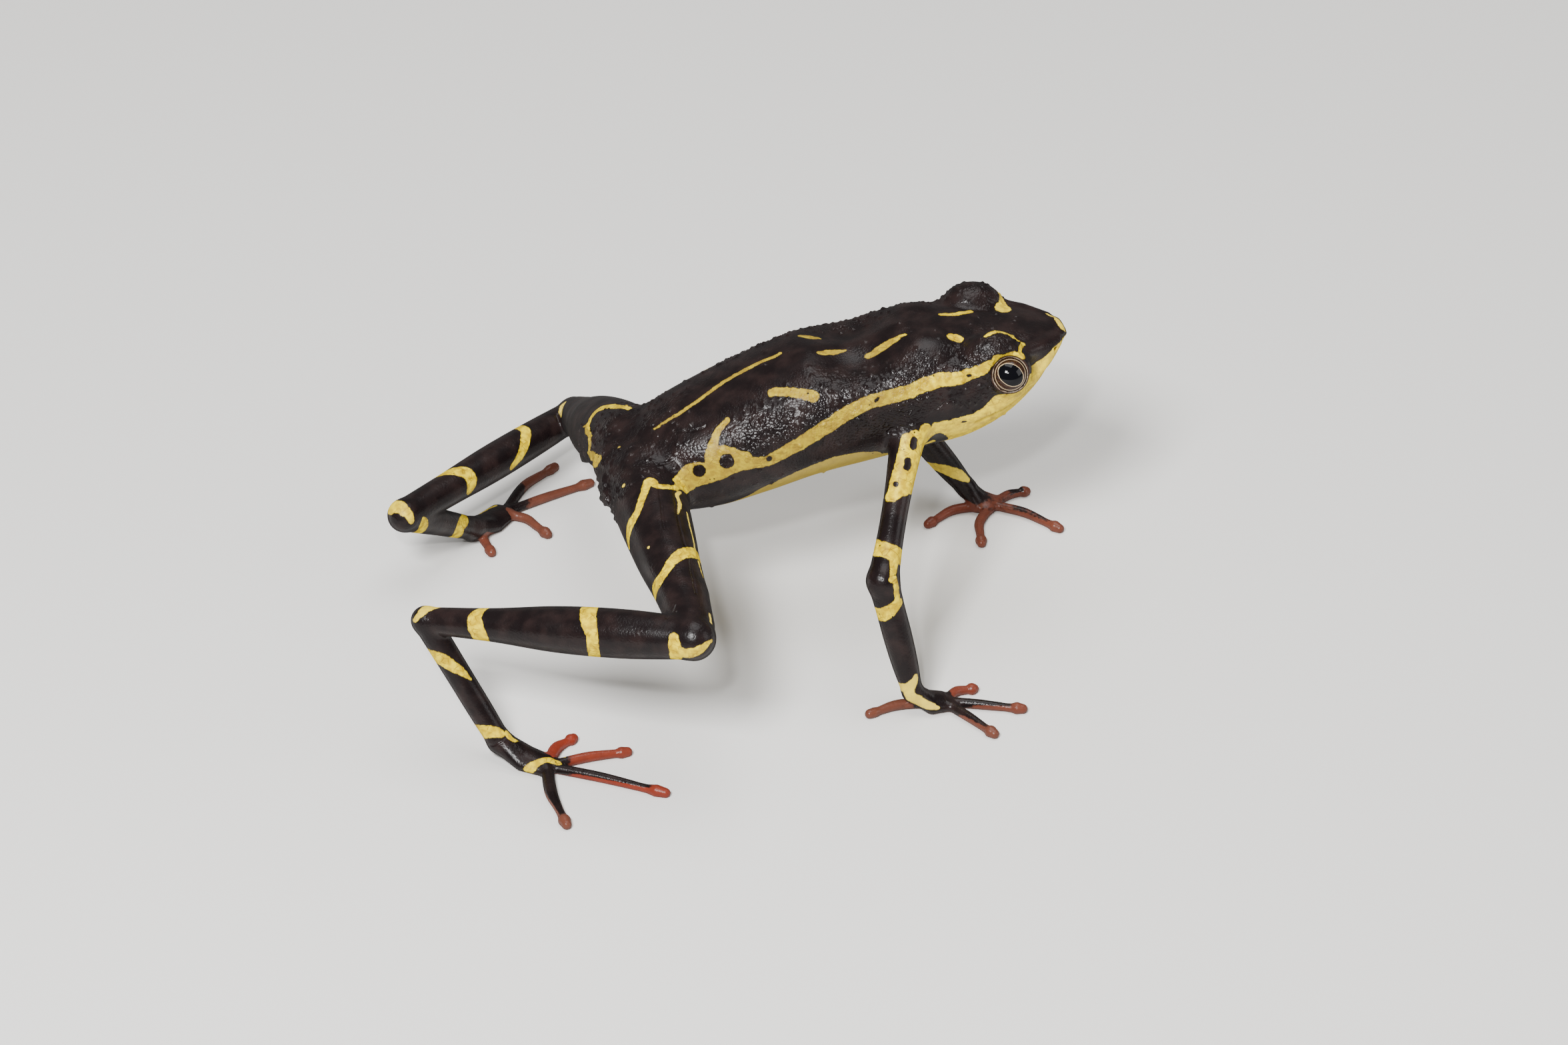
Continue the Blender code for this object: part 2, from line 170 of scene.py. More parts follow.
@dataclass(frozen=True)
class Cord:
    """A rounded rope through points, with a radius at each point."""

    points: tuple[Point, ...]
    radii: tuple[float, ...]

    def on(self, side: Side) -> "Cord":
        """Return the rope, which is given for the left, on one side."""
        return Cord(tuple(side.mirrored(point) for point in self.points), self.radii)

    def box(self) -> Box:
        """Return the lowest and highest corners."""
        return box_round(self.points, np.array(self.radii)[:, None])

    def distance(self, places: Sequence[Values]) -> Values:
        """Measure how far points lie from the surface.

        Args:
            places: The points' x, y and z.

        Returns:
            The distances, negative inside.
        """
        x, y, z = places
        nearest = None
        for index in range(len(self.points) - 1):
            start = self.points[index]
            way = np.subtract(self.points[index + 1], start)
            length = float(way @ way)
            along = (x - start[0]) * way[0] + (y - start[1]) * way[1] + (z - start[2]) * way[2]
            along = np.clip(along / max(length, SHORTEST), 0.0, 1.0)
            gap = (
                (x - start[0] - along * way[0]) ** 2
                + (y - start[1] - along * way[1]) ** 2
                + (z - start[2] - along * way[2]) ** 2
            )
            radius = self.radii[index] + along * (self.radii[index + 1] - self.radii[index])
            gap = np.sqrt(gap) - radius
            nearest = gap if nearest is None else np.minimum(nearest, gap)
        return nearest


@dataclass(frozen=True)
class Bone:
    """A straight stretch of limb between two joints."""

    start: Point
    end: Point
    girth: tuple[float, ...]  # half thickness from the upper joint to the lower one

    @property
    def length(self) -> float:
        """Return the distance between the joints."""
        return math.dist(self.start, self.end)

    def axes(self) -> tuple[Values, Values, Values]:
        """Work out the bone's own directions.

        Returns:
            The directions along the bone, up and to its side.
        """
        along = np.subtract(self.end, self.start) / self.length
        up = np.array((0.0, 0.0, 1.0)) - along[2] * along
        up /= np.linalg.norm(up)
        return along, up, np.cross(along, up)

    def radius(self, along: Values) -> Values:
        """Read the half thickness.

        Args:
            along: Shares of the bone's length.

        Returns:
            The half thickness at each share.
        """
        stops = np.linspace(0.0, self.length, len(self.girth))
        fine = smooth_table(list(zip(stops, self.girth)), FINE_ROWS)
        return np.interp(along * self.length, fine[:, 0], fine[:, 1])

    def box(self) -> Box:
        """Return the lowest and highest corners."""
        return box_round((self.start, self.end), max(self.girth))

    def distance(self, places: Sequence[Values]) -> Values:
        """Measure how far points lie from the surface.

        Args:
            places: The points' x, y and z.

        Returns:
            The distances, negative inside.
        """
        x, y, z = places
        along, _, _ = self.axes()
        start = self.start
        run = (x - start[0]) * along[0] + (y - start[1]) * along[1] + (z - start[2]) * along[2]
        share = np.clip(run / self.length, 0.0, 1.0)
        run = share * self.length
        gap = (
            (x - start[0] - run * along[0]) ** 2
            + (y - start[1] - run * along[1]) ** 2
            + (z - start[2] - run * along[2]) ** 2
        )
        return np.sqrt(gap) - self.radius(share)


@dataclass(frozen=True)
class Plate:
    """A palm or sole: a flattened rope through three places."""

    places: tuple[Point, Point, Point]
    widths: tuple[float, float, float]
    heights: tuple[float, float, float]

    def box(self) -> Box:
        """Return the lowest and highest corners."""
        return box_round(self.places, max(self.widths))

    def distance(self, places: Sequence[Values]) -> Values:
        """Measure how far points lie from the surface.

        Args:
            places: The points' x, y and z.

        Returns:
            The distances, negative inside.
        """
        nearest = None
        for index in range(2):
            start = np.array(self.places[index])
            way = np.array(self.places[index + 1]) - start
            length = float(np.linalg.norm(way))
            way = way / length
            across = np.cross(way, (0.0, 0.0, 1.0))
            across /= np.linalg.norm(across)
            lift = np.cross(across, way)
            apart = [value - middle for value, middle in zip(places, start)]
            run = sum(value * step for value, step in zip(apart, way))
            out = sum(value * step for value, step in zip(apart, across))
            rise = sum(value * step for value, step in zip(apart, lift))
            share = np.clip(run / length, 0.0, 1.0)
            past = run - share * length
            width = self.widths[index] + share * (self.widths[index + 1] - self.widths[index])
            height = self.heights[index] + share * (self.heights[index + 1] - self.heights[index])
            far = np.sqrt((out / width) ** 2 + (rise / height) ** 2 + (past / height) ** 2)
            steep = np.sqrt(
                (out / width**2) ** 2 + (rise / height**2) ** 2 + (past / height**2) ** 2
            )
            gap = far * (far - 1.0) / np.maximum(steep, FLATTEST)
            nearest = gap if nearest is None else np.minimum(nearest, gap)
        return nearest


@dataclass(frozen=True)
class Ring:
    """A round ring about an axis."""

    centre: Point
    axis: Point
    radius: float
    thickness: float

    def box(self) -> Box:
        """Return the lowest and highest corners."""
        return box_round([self.centre], self.radius + self.thickness)

    def distance(self, places: Sequence[Values]) -> Values:
        """Measure how far points lie from the surface.

        Args:
            places: The points' x, y and z.

        Returns:
            The distances, negative inside.
        """
        apart = [value - middle for value, middle in zip(places, self.centre)]
        off = sum(value * step for value, step in zip(apart, self.axis))
        whole = sum(value * value for value in apart)
        round_gap = np.sqrt(np.maximum(whole - off * off, 0.0)) - self.radius
        return np.sqrt(round_gap**2 + off**2) - self.thickness


@dataclass(frozen=True)
class Trunk:
    """The trunk and head as smooth sections across the spine."""

    # distance forward of the vent, top, bottom, half width, squareness
    rows: tuple[tuple[float, float, float, float, float], ...] = (
        (0.1, 11.6, 10.8, 0.4, 2.0),
        (0.5, 12.2, 9.9, 1.4, 2.0),
        (1.8, 12.9, 8.9, 2.5, 2.0),
        (4.0, 14.5, 8.5, 3.7, 2.1),
        (7.0, 15.9, 8.7, 4.4, 2.2),
        (10.0, 17.1, 9.5, 4.6, 2.3),
        (13.0, 18.1, 10.4, 4.6, 2.4),
        (16.5, 18.8, 11.0, 4.5, 2.4),
        (19.5, 19.1, 11.6, 4.5, 2.4),
        (22.0, 18.9, 12.0, 4.3, 2.4),
        (24.2, 18.6, 13.1, 3.9, 2.5),
        (26.2, 18.4, 14.8, 3.1, 2.5),
        (27.6, 18.1, 16.5, 1.9, 2.4),
        (28.4, 17.9, 17.1, 0.7, 2.2),
        (28.7, 17.5, 17.2, 0.3, 2.0),
    )
    end_room: float = 0.2
    level_room: float = 0.1
    slope_step: float = 0.05  # how far apart two sections are compared

    def section(self, x: Values) -> tuple[Values, ...]:
        """Read the trunk's sections.

        Args:
            x: Distances forward of the vent.

        Returns:
            The middle level, half height, half width and squareness at x.
        """
        fine = smooth_table(self.rows, FINE_ROWS)
        run = fine[:, 0]
        middle = np.interp(x, run, 0.5 * (fine[:, 1] + fine[:, 2]))
        height = np.interp(x, run, 0.5 * (fine[:, 1] - fine[:, 2]))
        return middle, height, np.interp(x, run, fine[:, 3]), np.interp(x, run, fine[:, 4])

    def turn_of(self, points: Values) -> Values:
        """Return the degrees from the top at points, the same on both sides."""
        middle = self.section(points[:, 0])[0]
        return np.degrees(np.arctan2(np.abs(points[:, 1]), points[:, 2] - middle))

    def box(self) -> Box:
        """Work out the box.

        Returns:
            Its lowest and highest corners.
        """
        rows = np.array(self.rows)
        width = rows[:, 3].max()
        low = (rows[0, 0] - self.end_room, -width, rows[:, 2].min() - self.level_room)
        high = (rows[-1, 0] + self.end_room, width, rows[:, 1].max() + self.level_room)
        return np.array(low), np.array(high)

    def distance(self, places: Sequence[Values]) -> Values:
        """Measure how far points lie from the surface.

        Args:
            places: The points' x, y and z.

        Returns:
            The distances, negative inside.
        """
        x, y, z = places
        low = self.rows[0][0]
        high = self.rows[-1][0]
        inner = np.clip(x, low, high)
        middle, height, width, squareness = self.section(inner)
        after = self.section(np.minimum(inner + self.slope_step, high))
        before = self.section(np.maximum(inner - self.slope_step, low))
        run = np.minimum(inner + self.slope_step, high) - np.maximum(inner - self.slope_step, low)
        slope_middle, slope_height, slope_width = (
            (a - b) / run for a, b in zip(after[:3], before[:3])
        )
        across = np.abs(y) / width
        lift = (z - middle) / height
        across_power = across ** (squareness - 1.0)
        lift_power = np.abs(lift) ** (squareness - 1.0)
        whole = across_power * across + lift_power * np.abs(lift)
        far = np.maximum(whole, FLATTEST) ** (1.0 / squareness)
        forward = across_power * across * slope_width / width
        forward = forward + lift_power * (
            np.abs(lift) * slope_height + np.sign(lift) * slope_middle
        ) / height
        steep = np.sqrt((across_power / width) ** 2 + (lift_power / height) ** 2 + forward**2)
        steep = steep * far ** (1.0 - squareness)
        gap = (far - 1.0) / np.maximum(steep, FLATTEST)
        beyond = np.abs(x - inner)
        return np.where(beyond > 0.0, np.sqrt(np.maximum(gap, 0.0) ** 2 + beyond**2), gap)


def soft_low(first: Values, second: Values, soft: float) -> Values:
    """Return the lower of two distances with a rounded change between them."""
    share = np.clip(0.5 + 0.5 * (second - first) / soft, 0.0, 1.0)
    return second + (first - second) * share - soft * share * (1.0 - share)


class Clay:
    """Signed distances on a fine grid, from which one closed skin is drawn."""

    def __init__(self, low: Values, high: Values, step: float) -> None:
        """Fill a box with empty space.

        Args:
            low: The box's lowest corner.
            high: Its highest corner.
            step: The size of a cell.
        """
        self.low = np.array(low, dtype=float)
        self.step = step
        counts = np.ceil((np.array(high) - self.low) / step).astype(int) + 1
        self.reach = BAND_CELLS * step
        self.cells = np.full(counts, FAR, dtype=np.float32)

    def _part(self, form: Form, margin: float) -> tuple[tuple[slice, ...], list[Values]]:
        """Find the grid's part around a form.

        Args:
            form: The form.
            margin: The room to leave beside it.

        Returns:
            The part's slices and its open x, y and z.
        """
        low, high = form.box()
        first = np.floor((low - margin - self.low) / self.step).astype(int)
        last = np.ceil((high + margin - self.low) / self.step).astype(int) + 1
        first = np.clip(first, 0, self.cells.shape)
        last = np.clip(last, 0, self.cells.shape)
        places = []
        for axis in range(3):
            run = self.low[axis] + self.step * np.arange(first[axis], last[axis])
            shape = [1, 1, 1]
            shape[axis] = -1
            places.append(run.astype(np.float32).reshape(shape))
        return tuple(slice(a, b) for a, b in zip(first, last)), places

    def join(self, form: Form, soft: float) -> None:
        """Add a form.

        Args:
            form: The form.
            soft: About how wide the fillet is.
        """
        part, places = self._part(form, self.reach + soft)
        added = form.distance(places).astype(np.float32)
        self.cells[part] = soft_low(self.cells[part], added, soft)

    def carve(self, form: Form, soft: float) -> None:
        """Take a form away.

        Args:
            form: The form.
            soft: About how wide the rounded edge is.
        """
        part, places = self._part(form, self.reach + soft)
        removed = form.distance(places).astype(np.float32)
        self.cells[part] = -soft_low(-self.cells[part], removed, soft)

    def level(self, height: float) -> None:
        """Cut everything below a level flat."""
        run = self.low[2] + self.step * np.arange(self.cells.shape[2])
        self.cells = np.maximum(self.cells, (height - run).astype(np.float32)[None, None, :])

    def skin(self) -> tuple[Values, Values]:
        """Draw the skin.

        Returns:
            Its points in millimetres and its quads.
        """
        grid = openvdb.FloatGrid(self.reach)
        band = np.clip(self.cells, -self.reach, self.reach)
        grid.copyFromArray(np.ascontiguousarray(band), tolerance=0.0)
        points, quads = grid.convertToQuads(0.0)
        return points.astype(float) * self.step + self.low, quads.astype(np.int32)


@dataclass(frozen=True)
class Digit:
    """A finger or toe, from its knuckle to its tip, and how it is coloured."""

    knuckle: tuple[float, float]
    tip: tuple[float, float]
    dark: float = 0.0  # how dark its top is
    dull: float = 0.0  # 0 is bright red, 1 is pinkish brown
    start: float = 0.05  # the share of its length at which the red has set in
    root: float = 0.3
    shaft: float = 0.27
    swelling: float = 1.02  # how much thicker the shaft is before the pad
    pad: float = 0.38
    end: float = 0.3
    level: float = 0.24
    inset: float = 0.5  # how far out of the palm's middle the rope starts
    bends: tuple[float, float, float] = (0.4, 0.72, 0.86)  # shares of its length
    rises: tuple[float, float, float] = (0.08, 0.06, 0.03)  # over its level
    places: int = 13

    def form(self, palm: Point) -> Cord:
        """Shape the digit.

        Args:
            palm: The middle of the palm or sole.

        Returns:
            Its rope, from inside the palm over the knuckle to the tip.
        """
        centre = np.array((palm[0], palm[1], self.level))
        knuckle = np.array((*self.knuckle, self.level))
        tip = np.array((*self.tip, self.level))
        way = (knuckle - centre) / np.linalg.norm(knuckle - centre)
        first, second, third = (knuckle + share * (tip - knuckle) for share in self.bends)
        stops = (
            (centre + self.inset * way, self.root, self.rises[0]),
            (knuckle, self.root, self.rises[1]),
            (first, self.shaft, self.rises[2]),
            (second, self.shaft * self.swelling, 0.0),
            (third, self.pad, 0.0),
            (tip, self.end, 0.0),
        )
        rows = [(*(place + (0.0, 0.0, rise)), radius) for place, radius, rise in stops]
        fine = smooth_table(rows, self.places)
        return Cord(tuple(map(tuple, fine[:, :3])), tuple(fine[:, 3]))


@dataclass(frozen=True)
class Limbs:
    """The joints, bones, plates and digits of one side."""

    name: str
    shoulder: Point
    elbow: Point
    wrist: Point
    palm: Point
    hip: Point
    knee: Point
    heel: Point
    ankle: Point
    sole: Point
    fingers: tuple[Digit, ...]
    toes: tuple[Digit, ...]
    thigh_girth: tuple[float, ...]
    shank_girth: tuple[float, ...]
    tarsus_girth: tuple[float, ...]
    muscle: tuple[Point, ...]  # the swelling on the front of the thigh above the knee
    muscle_radii: tuple[float, ...] = (1.35, 1.33, 1.13)
    palm_red: float = 0.0  # how red the back of the hand is
    sole_red: float = 0.0
    upper_arm_girth: tuple[float, ...] = (1.2, 0.95, 0.8, 0.8, 0.93)
    forearm_girth: tuple[float, ...] = (0.93, 0.87, 0.86, 0.78, 0.6)
    palm_root: float = 0.55
    sole_root: float = 0.68
    plate_widths: tuple[float, float] = (1.0, 0.9)
    plate_heights: tuple[float, float] = (0.55, 0.42)
    plate_bend: float = 0.55
    plate_level: float = 0.45
    thigh_soft: float = 0.9
    muscle_soft: float = 0.5
    arm_soft: float = 0.7
    joint_soft: float = 0.35
    heel_soft: float = 0.3
    digit_soft: float = 0.22

    def _plate(self, root: Point, front: Point, girth: float) -> Plate:
        """Shape a palm or sole.

        Args:
            root: The wrist or ankle.
            front: The front end.
            girth: The half thickness at the root.

        Returns:
            The plate.
        """
        x = root[0] + self.plate_bend * (front[0] - root[0])
        y = root[1] + self.plate_bend * (front[1] - root[1])
        return Plate(
            (root, (x, y, self.plate_level), front),
            (girth, *self.plate_widths),
            (girth, *self.plate_heights),
        )

    def parts(self) -> dict[str, Form]:
        """Shape the bones and plates of this side.

        Returns:
            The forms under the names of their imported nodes, without the side.
        """
        return {
            "upper_arm": Bone(self.shoulder, self.elbow, self.upper_arm_girth),
            "forearm": Bone(self.elbow, self.wrist, self.forearm_girth),
            "hand": self._plate(self.wrist, self.palm, self.palm_root),
            "thigh": Bone(self.hip, self.knee, self.thigh_girth),
            "shank": Bone(self.knee, self.heel, self.shank_girth),
            "tarsus": Bone(self.heel, self.ankle, self.tarsus_girth),
            "foot": self._plate(self.ankle, self.sole, self.sole_root),
        }

    def ends(self) -> tuple[tuple[str, Point, tuple[Digit, ...], float], ...]:
        """List what the hand and the foot end in.

        Returns:
            The digits' name, the palm or sole, the digits and how red the end is.
        """
        return (
            ("finger", self.palm, self.fingers, self.palm_red),
            ("toe", self.sole, self.toes, self.sole_red),
        )

    def model(self, clay: Clay) -> None:
        """Add this side's limbs to the clay.

        Args:
            clay: The clay, which already holds the trunk.
        """
        parts = self.parts()
        clay.join(parts["thigh"], self.thigh_soft)
        clay.join(Cord(self.muscle, self.muscle_radii), self.muscle_soft)
        clay.join(parts["shank"], self.joint_soft)
        clay.join(parts["tarsus"], self.heel_soft)
        clay.join(parts["foot"], self.joint_soft)
        clay.join(parts["upper_arm"], self.arm_soft)
        clay.join(parts["forearm"], self.joint_soft)
        clay.join(parts["hand"], self.joint_soft)
        for _, palm, digits, _ in self.ends():
            for digit in digits:
                clay.join(digit.form(palm), self.digit_soft)

    def nodes(self) -> list[str]:
        """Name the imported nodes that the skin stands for.

        Returns:
            The names of this side's nodes.
        """
        names = [*self.parts(), *(f"finger_{number}" for number in (1, 2, 3, 4))]
        names += [f"toe_{number}" for number in (2, 3, 4, 5)]
        return [f"{part}_{self.name}" for part in names]


RIGHT = Limbs(
    name="right",
    shoulder=(18.6, -3.3, 14.6),
    elbow=(15.45, -10.6, 8.2),
    wrist=(16.9, -12.6, 1.4),
    palm=(18.8, -12.5, 0.35),
    hip=(2.7, -2.2, 11.0),
    knee=(2.9, -17.8, 10.8),
    heel=(-11.44, -9.52, 8.18),
    ankle=(-7.75, -12.55, 1.15),
    sole=(-5.3, -14.4, 0.4),
    fingers=(
        Digit((15.6, -12.4), (14.3, -12.8), 0.0, 1.0, start=-0.6),
        Digit((19.9, -11.6), (20.9, -11.5), 0.15, 0.6, start=-0.3),
        Digit((21.0, -13.2), (23.3, -14.0), 0.75, 0.85),
        Digit((20.0, -14.3), (21.1, -16.1), 0.7, 1.0),
    ),
    toes=(
        Digit((-4.3, -12.6), (-3.3, -11.9), 0.0, 0.0, start=-0.8, root=0.34),
        Digit((-2.4, -13.9), (-0.4, -13.8), 0.3, 0.35, start=-0.5),
        Digit((-2.0, -16.2), (1.1, -18.1), 0.85, 0.1, start=-0.3),
        Digit((-5.4, -17.2), (-5.0, -20.0), 0.95, 1.0, root=0.36),
    ),
    thigh_girth=(2.3, 2.12, 1.82, 1.34, 1.2),
    shank_girth=(1.2, 1.42, 1.35, 0.98, 0.78),
    tarsus_girth=(0.8, 0.77, 0.75, 0.74, 0.68),
    muscle=((3.0, -11.0, 10.9), (3.15, -13.9, 10.85), (3.1, -16.6, 10.8)),
)
LEFT = Limbs(
    name="left",
    shoulder=(18.6, 3.3, 14.6),
    elbow=(20.5, 9.1, 7.1),
    wrist=(24.7, 7.8, 1.4),
    palm=(26.2, 7.2, 0.35),
    hip=(2.7, 2.2, 11.0),
    knee=(1.4, 16.2, 4.3),
    heel=(-10.7, 5.8, 5.15),
    ankle=(-6.2, 9.5, 1.1),
    sole=(-3.9, 11.9, 0.4),
    fingers=(
        Digit((23.4, 6.9), (21.9, 5.9), 0.1, 0.75, start=-0.5),
        Digit((24.95, 5.1), (24.7, 3.25), 0.3, 0.9, start=-0.5),
        Digit((28.2, 5.8), (29.8, 3.9), 0.6, 0.9, start=-0.2),
        Digit((27.7, 8.1), (28.7, 8.3), 0.8, 0.9),
    ),
    toes=(
        Digit((-5.5, 9.4), (-5.2, 7.9), 0.1, 0.9, start=-0.8),
        Digit((-2.5, 11.0), (-1.5, 9.2), 0.2, 1.0, start=-0.6),
        Digit((-0.75, 13.25), (2.0, 14.3), 0.35, 1.0, start=-0.3),
        Digit((-1.75, 15.05), (0.1, 16.5), 0.3, 1.0, start=-0.1),
    ),
    thigh_girth=(2.3, 2.3, 2.05, 1.5, 1.05),
    shank_girth=(0.95, 1.1, 1.15, 1.04, 0.98),
    tarsus_girth=(0.98, 0.92, 0.84, 0.78, 0.7),
    muscle=((2.1, 10.5, 6.9), (1.8, 13.1, 5.7), (1.55, 15.0, 4.85)),
    muscle_radii=(1.4, 1.3, 1.05),
    palm_red=0.55,
    sole_red=0.25,
)


@dataclass(frozen=True)
class Head:
    """The lids, sockets, canthal ridges, lips, nostrils and mouth of both sides."""

    trunk: Trunk
    eye_place: Point = (24.35, 3.75, 17.2)
    eye_radius: float = 1.12
    socket_room: float = 0.02
    gaze: Point = (-0.06, 0.86, 0.5)  # the way that the eye's opening faces
    opening_radius: float = 1.6
    opening_out: float = 1.8
    margin_radius: float = 1.06
    margin_thickness: float = 0.09
    margin_out: float = 0.42
    margin_room: float = 0.5  # how far outside the eye its lids still count
    eye_softness: tuple[float, float, float] = (0.15, 0.12, 0.03)  # opening, margin, socket
    rim: Ball = Ball((24.35, 3.4, 17.2), (1.5, 1.33, 1.45))
    rim_soft: float = 0.35
    lid: Ball = Ball((23.55, 2.8, 17.9), (1.9, 1.5, 1.58))
    lid_soft: float = 0.45
    brow: Cord = Cord(((22.9, 3.0, 17.95), (21.4, 3.45, 17.5), (19.9, 3.7, 17.0)), (0.6, 0.5, 0.4))
    brow_soft: float = 0.6
    shoulder: Ball = Ball((19.9, 1.7, 15.6), (2.4, 2.2, 3.45))
    shoulder_soft: float = 0.5
    canthus: Cord = Cord(
        ((25.3, 2.75, 17.85), (26.5, 2.1, 17.8), (27.7, 1.25, 17.65)), (0.42, 0.4, 0.32)
    )
    canthus_soft: float = 0.35
    lore: Ball = Ball((26.6, 3.25, 17.05), (0.95, 0.75, 0.6))  # the hollow before the eye
    lore_soft: float = 0.5
    nostril: Ball = Ball((27.55, 1.75, 17.42), (0.17, 0.3, 0.12))
    nostril_soft: float = 0.1
    dent: Ball = Ball((15.2, 2.5, 22.68), (4.6, 5.2, 5.2))  # behind the shoulder blade
    dent_soft: float = 0.8
    mouth: tuple[Span, ...] = (
        (22.4, 14.3), (24.2, 14.8), (26.2, 15.8), (27.4, 16.7), (28.0, 17.05), (28.35, 17.2),
    )
    mouth_places: int = 14
    mouth_steepest: float = 0.97  # the highest share of the trunk's half height it climbs
    mouth_narrowest: float = 0.12
    lip_rise: float = 0.44
    lip_radius: float = 0.34
    lip_sunk: float = 0.22
    lip_soft: float = 0.3
    groove: float = 0.09
    groove_soft: float = 0.12

    def _mouth_path(self, lift: float, sunk: float) -> tuple[Point, ...]:
        """Follow the mouth from jaw to jaw.

        Args:
            lift: How far over the mouth the path runs.
            sunk: How far inside the trunk it runs.

        Returns:
            The path's points.
        """
        line = np.array(self.mouth)
        left = []
        for forward in np.linspace(line[0, 0], line[-1, 0], self.mouth_places):
            middle, height, width, squareness = (
                float(value) for value in self.trunk.section(np.array(forward))
            )
            level = float(np.interp(forward, line[:, 0], line[:, 1])) + lift
            share = min(abs(level - middle) / height, self.mouth_steepest) ** squareness
            out = width * (1.0 - share) ** (1.0 / squareness) - sunk
            left.append((float(forward) - sunk, max(out, self.mouth_narrowest), level))
        return tuple(left + [(x, -y, z) for x, y, z in reversed(left)])

    def model(self, clay: Clay) -> None:
        """Add the head's forms to the clay and carve its openings.

        Args:
            clay: The clay, which already holds the trunk.
        """
        for side in Side:
            clay.carve(self.dent.on(side), self.dent_soft)
            clay.join(self.shoulder.on(side), self.shoulder_soft)
            clay.join(self.brow.on(side), self.brow_soft)
        lip = self._mouth_path(self.lip_rise, self.lip_sunk)
        clay.join(Cord(lip, (self.lip_radius,) * len(lip)), self.lip_soft)
        for side in Side:
            clay.join(self.lid.on(side), self.lid_soft)
            clay.join(self.rim.on(side), self.rim_soft)
            clay.join(self.canthus.on(side), self.canthus_soft)
            clay.carve(self.lore.on(side), self.lore_soft)
            self._open_eye(clay, side)
            clay.carve(self.nostril.on(side), self.nostril_soft)
        mouth = self._mouth_path(0.0, 0.0)
        clay.carve(Cord(mouth, (self.groove,) * len(mouth)), self.groove_soft)

    def _look(self, side: Side) -> tuple[Values, Values]:
        """Return the eye's middle and the way that it looks on one side."""
        gaze = np.array(side.mirrored(self.gaze))
        return np.array(side.mirrored(self.eye_place)), gaze / np.linalg.norm(gaze)

    def _open_eye(self, clay: Clay, side: Side) -> None:
        """Carve the socket and its opening, and lay the lid's margin round it.

        Args:
            clay: The clay, which already holds the lids.
            side: The eye's side.
        """
        eye, gaze = self._look(side)
        opening_soft, margin_soft, socket_soft = self.eye_softness
        window = tuple(eye + gaze * self.opening_out)
        clay.carve(Ball(window, (self.opening_radius,) * 3), opening_soft)
        margin = tuple(eye + gaze * self.margin_out)
        ring = Ring(margin, tuple(gaze), self.margin_radius, self.margin_thickness)
        clay.join(ring, margin_soft)
        clay.carve(Ball(tuple(eye), (self.eye_radius + self.socket_room,) * 3), socket_soft)

    def margin_values(self, points: Values) -> Values:
        """Measure points of the lids from the axes of the eyes.

        Args:
            points: The skin's points.

        Returns:
            The distance from the nearer eye's axis, and a far one off the lids.
        """
        value = np.full(len(points), FAR)
        for side in Side:
            eye, gaze = self._look(side)
            apart = points - eye
            off = apart @ gaze
            whole = np.sum(apart * apart, axis=1)
            around = np.sqrt(np.maximum(whole - off * off, 0.0))
            near = (off > 0.0) & (whole < (self.eye_radius + self.margin_room) ** 2)
            value = np.where(near, around, value)
        return value


class Mark(Enum):
    """What a painted stroke does to the skin."""

    YELLOW = "yellow"
    DARK = "dark"
    CREASE = "crease"


@dataclass(frozen=True)
class Stroke:
    """A painted line. Its places are on a surface (run, turn) or free points (x, y, z)."""

    on: str
    places: tuple[Place, ...]
    half: tuple[float, ...]  # half widths, spread evenly along the line
    mark: Mark = Mark.YELLOW
    pale: float = 0.0  # how far the yellow goes towards cream


def spots(on: str, *rows: tuple[float, float, float]) -> tuple[Stroke, ...]:
    """Return round dark spots on a surface, each with its run, turn and radius."""
    return tuple(Stroke(on, ((run, turn),), (radius,), Mark.DARK) for run, turn, radius in rows)


def folds(on: str, half: float, *paths: tuple[Place, ...]) -> tuple[Stroke, ...]:
    """Return folds of one half width along paths on a surface."""
    return tuple(Stroke(on, path, (half,), Mark.CREASE) for path in paths)


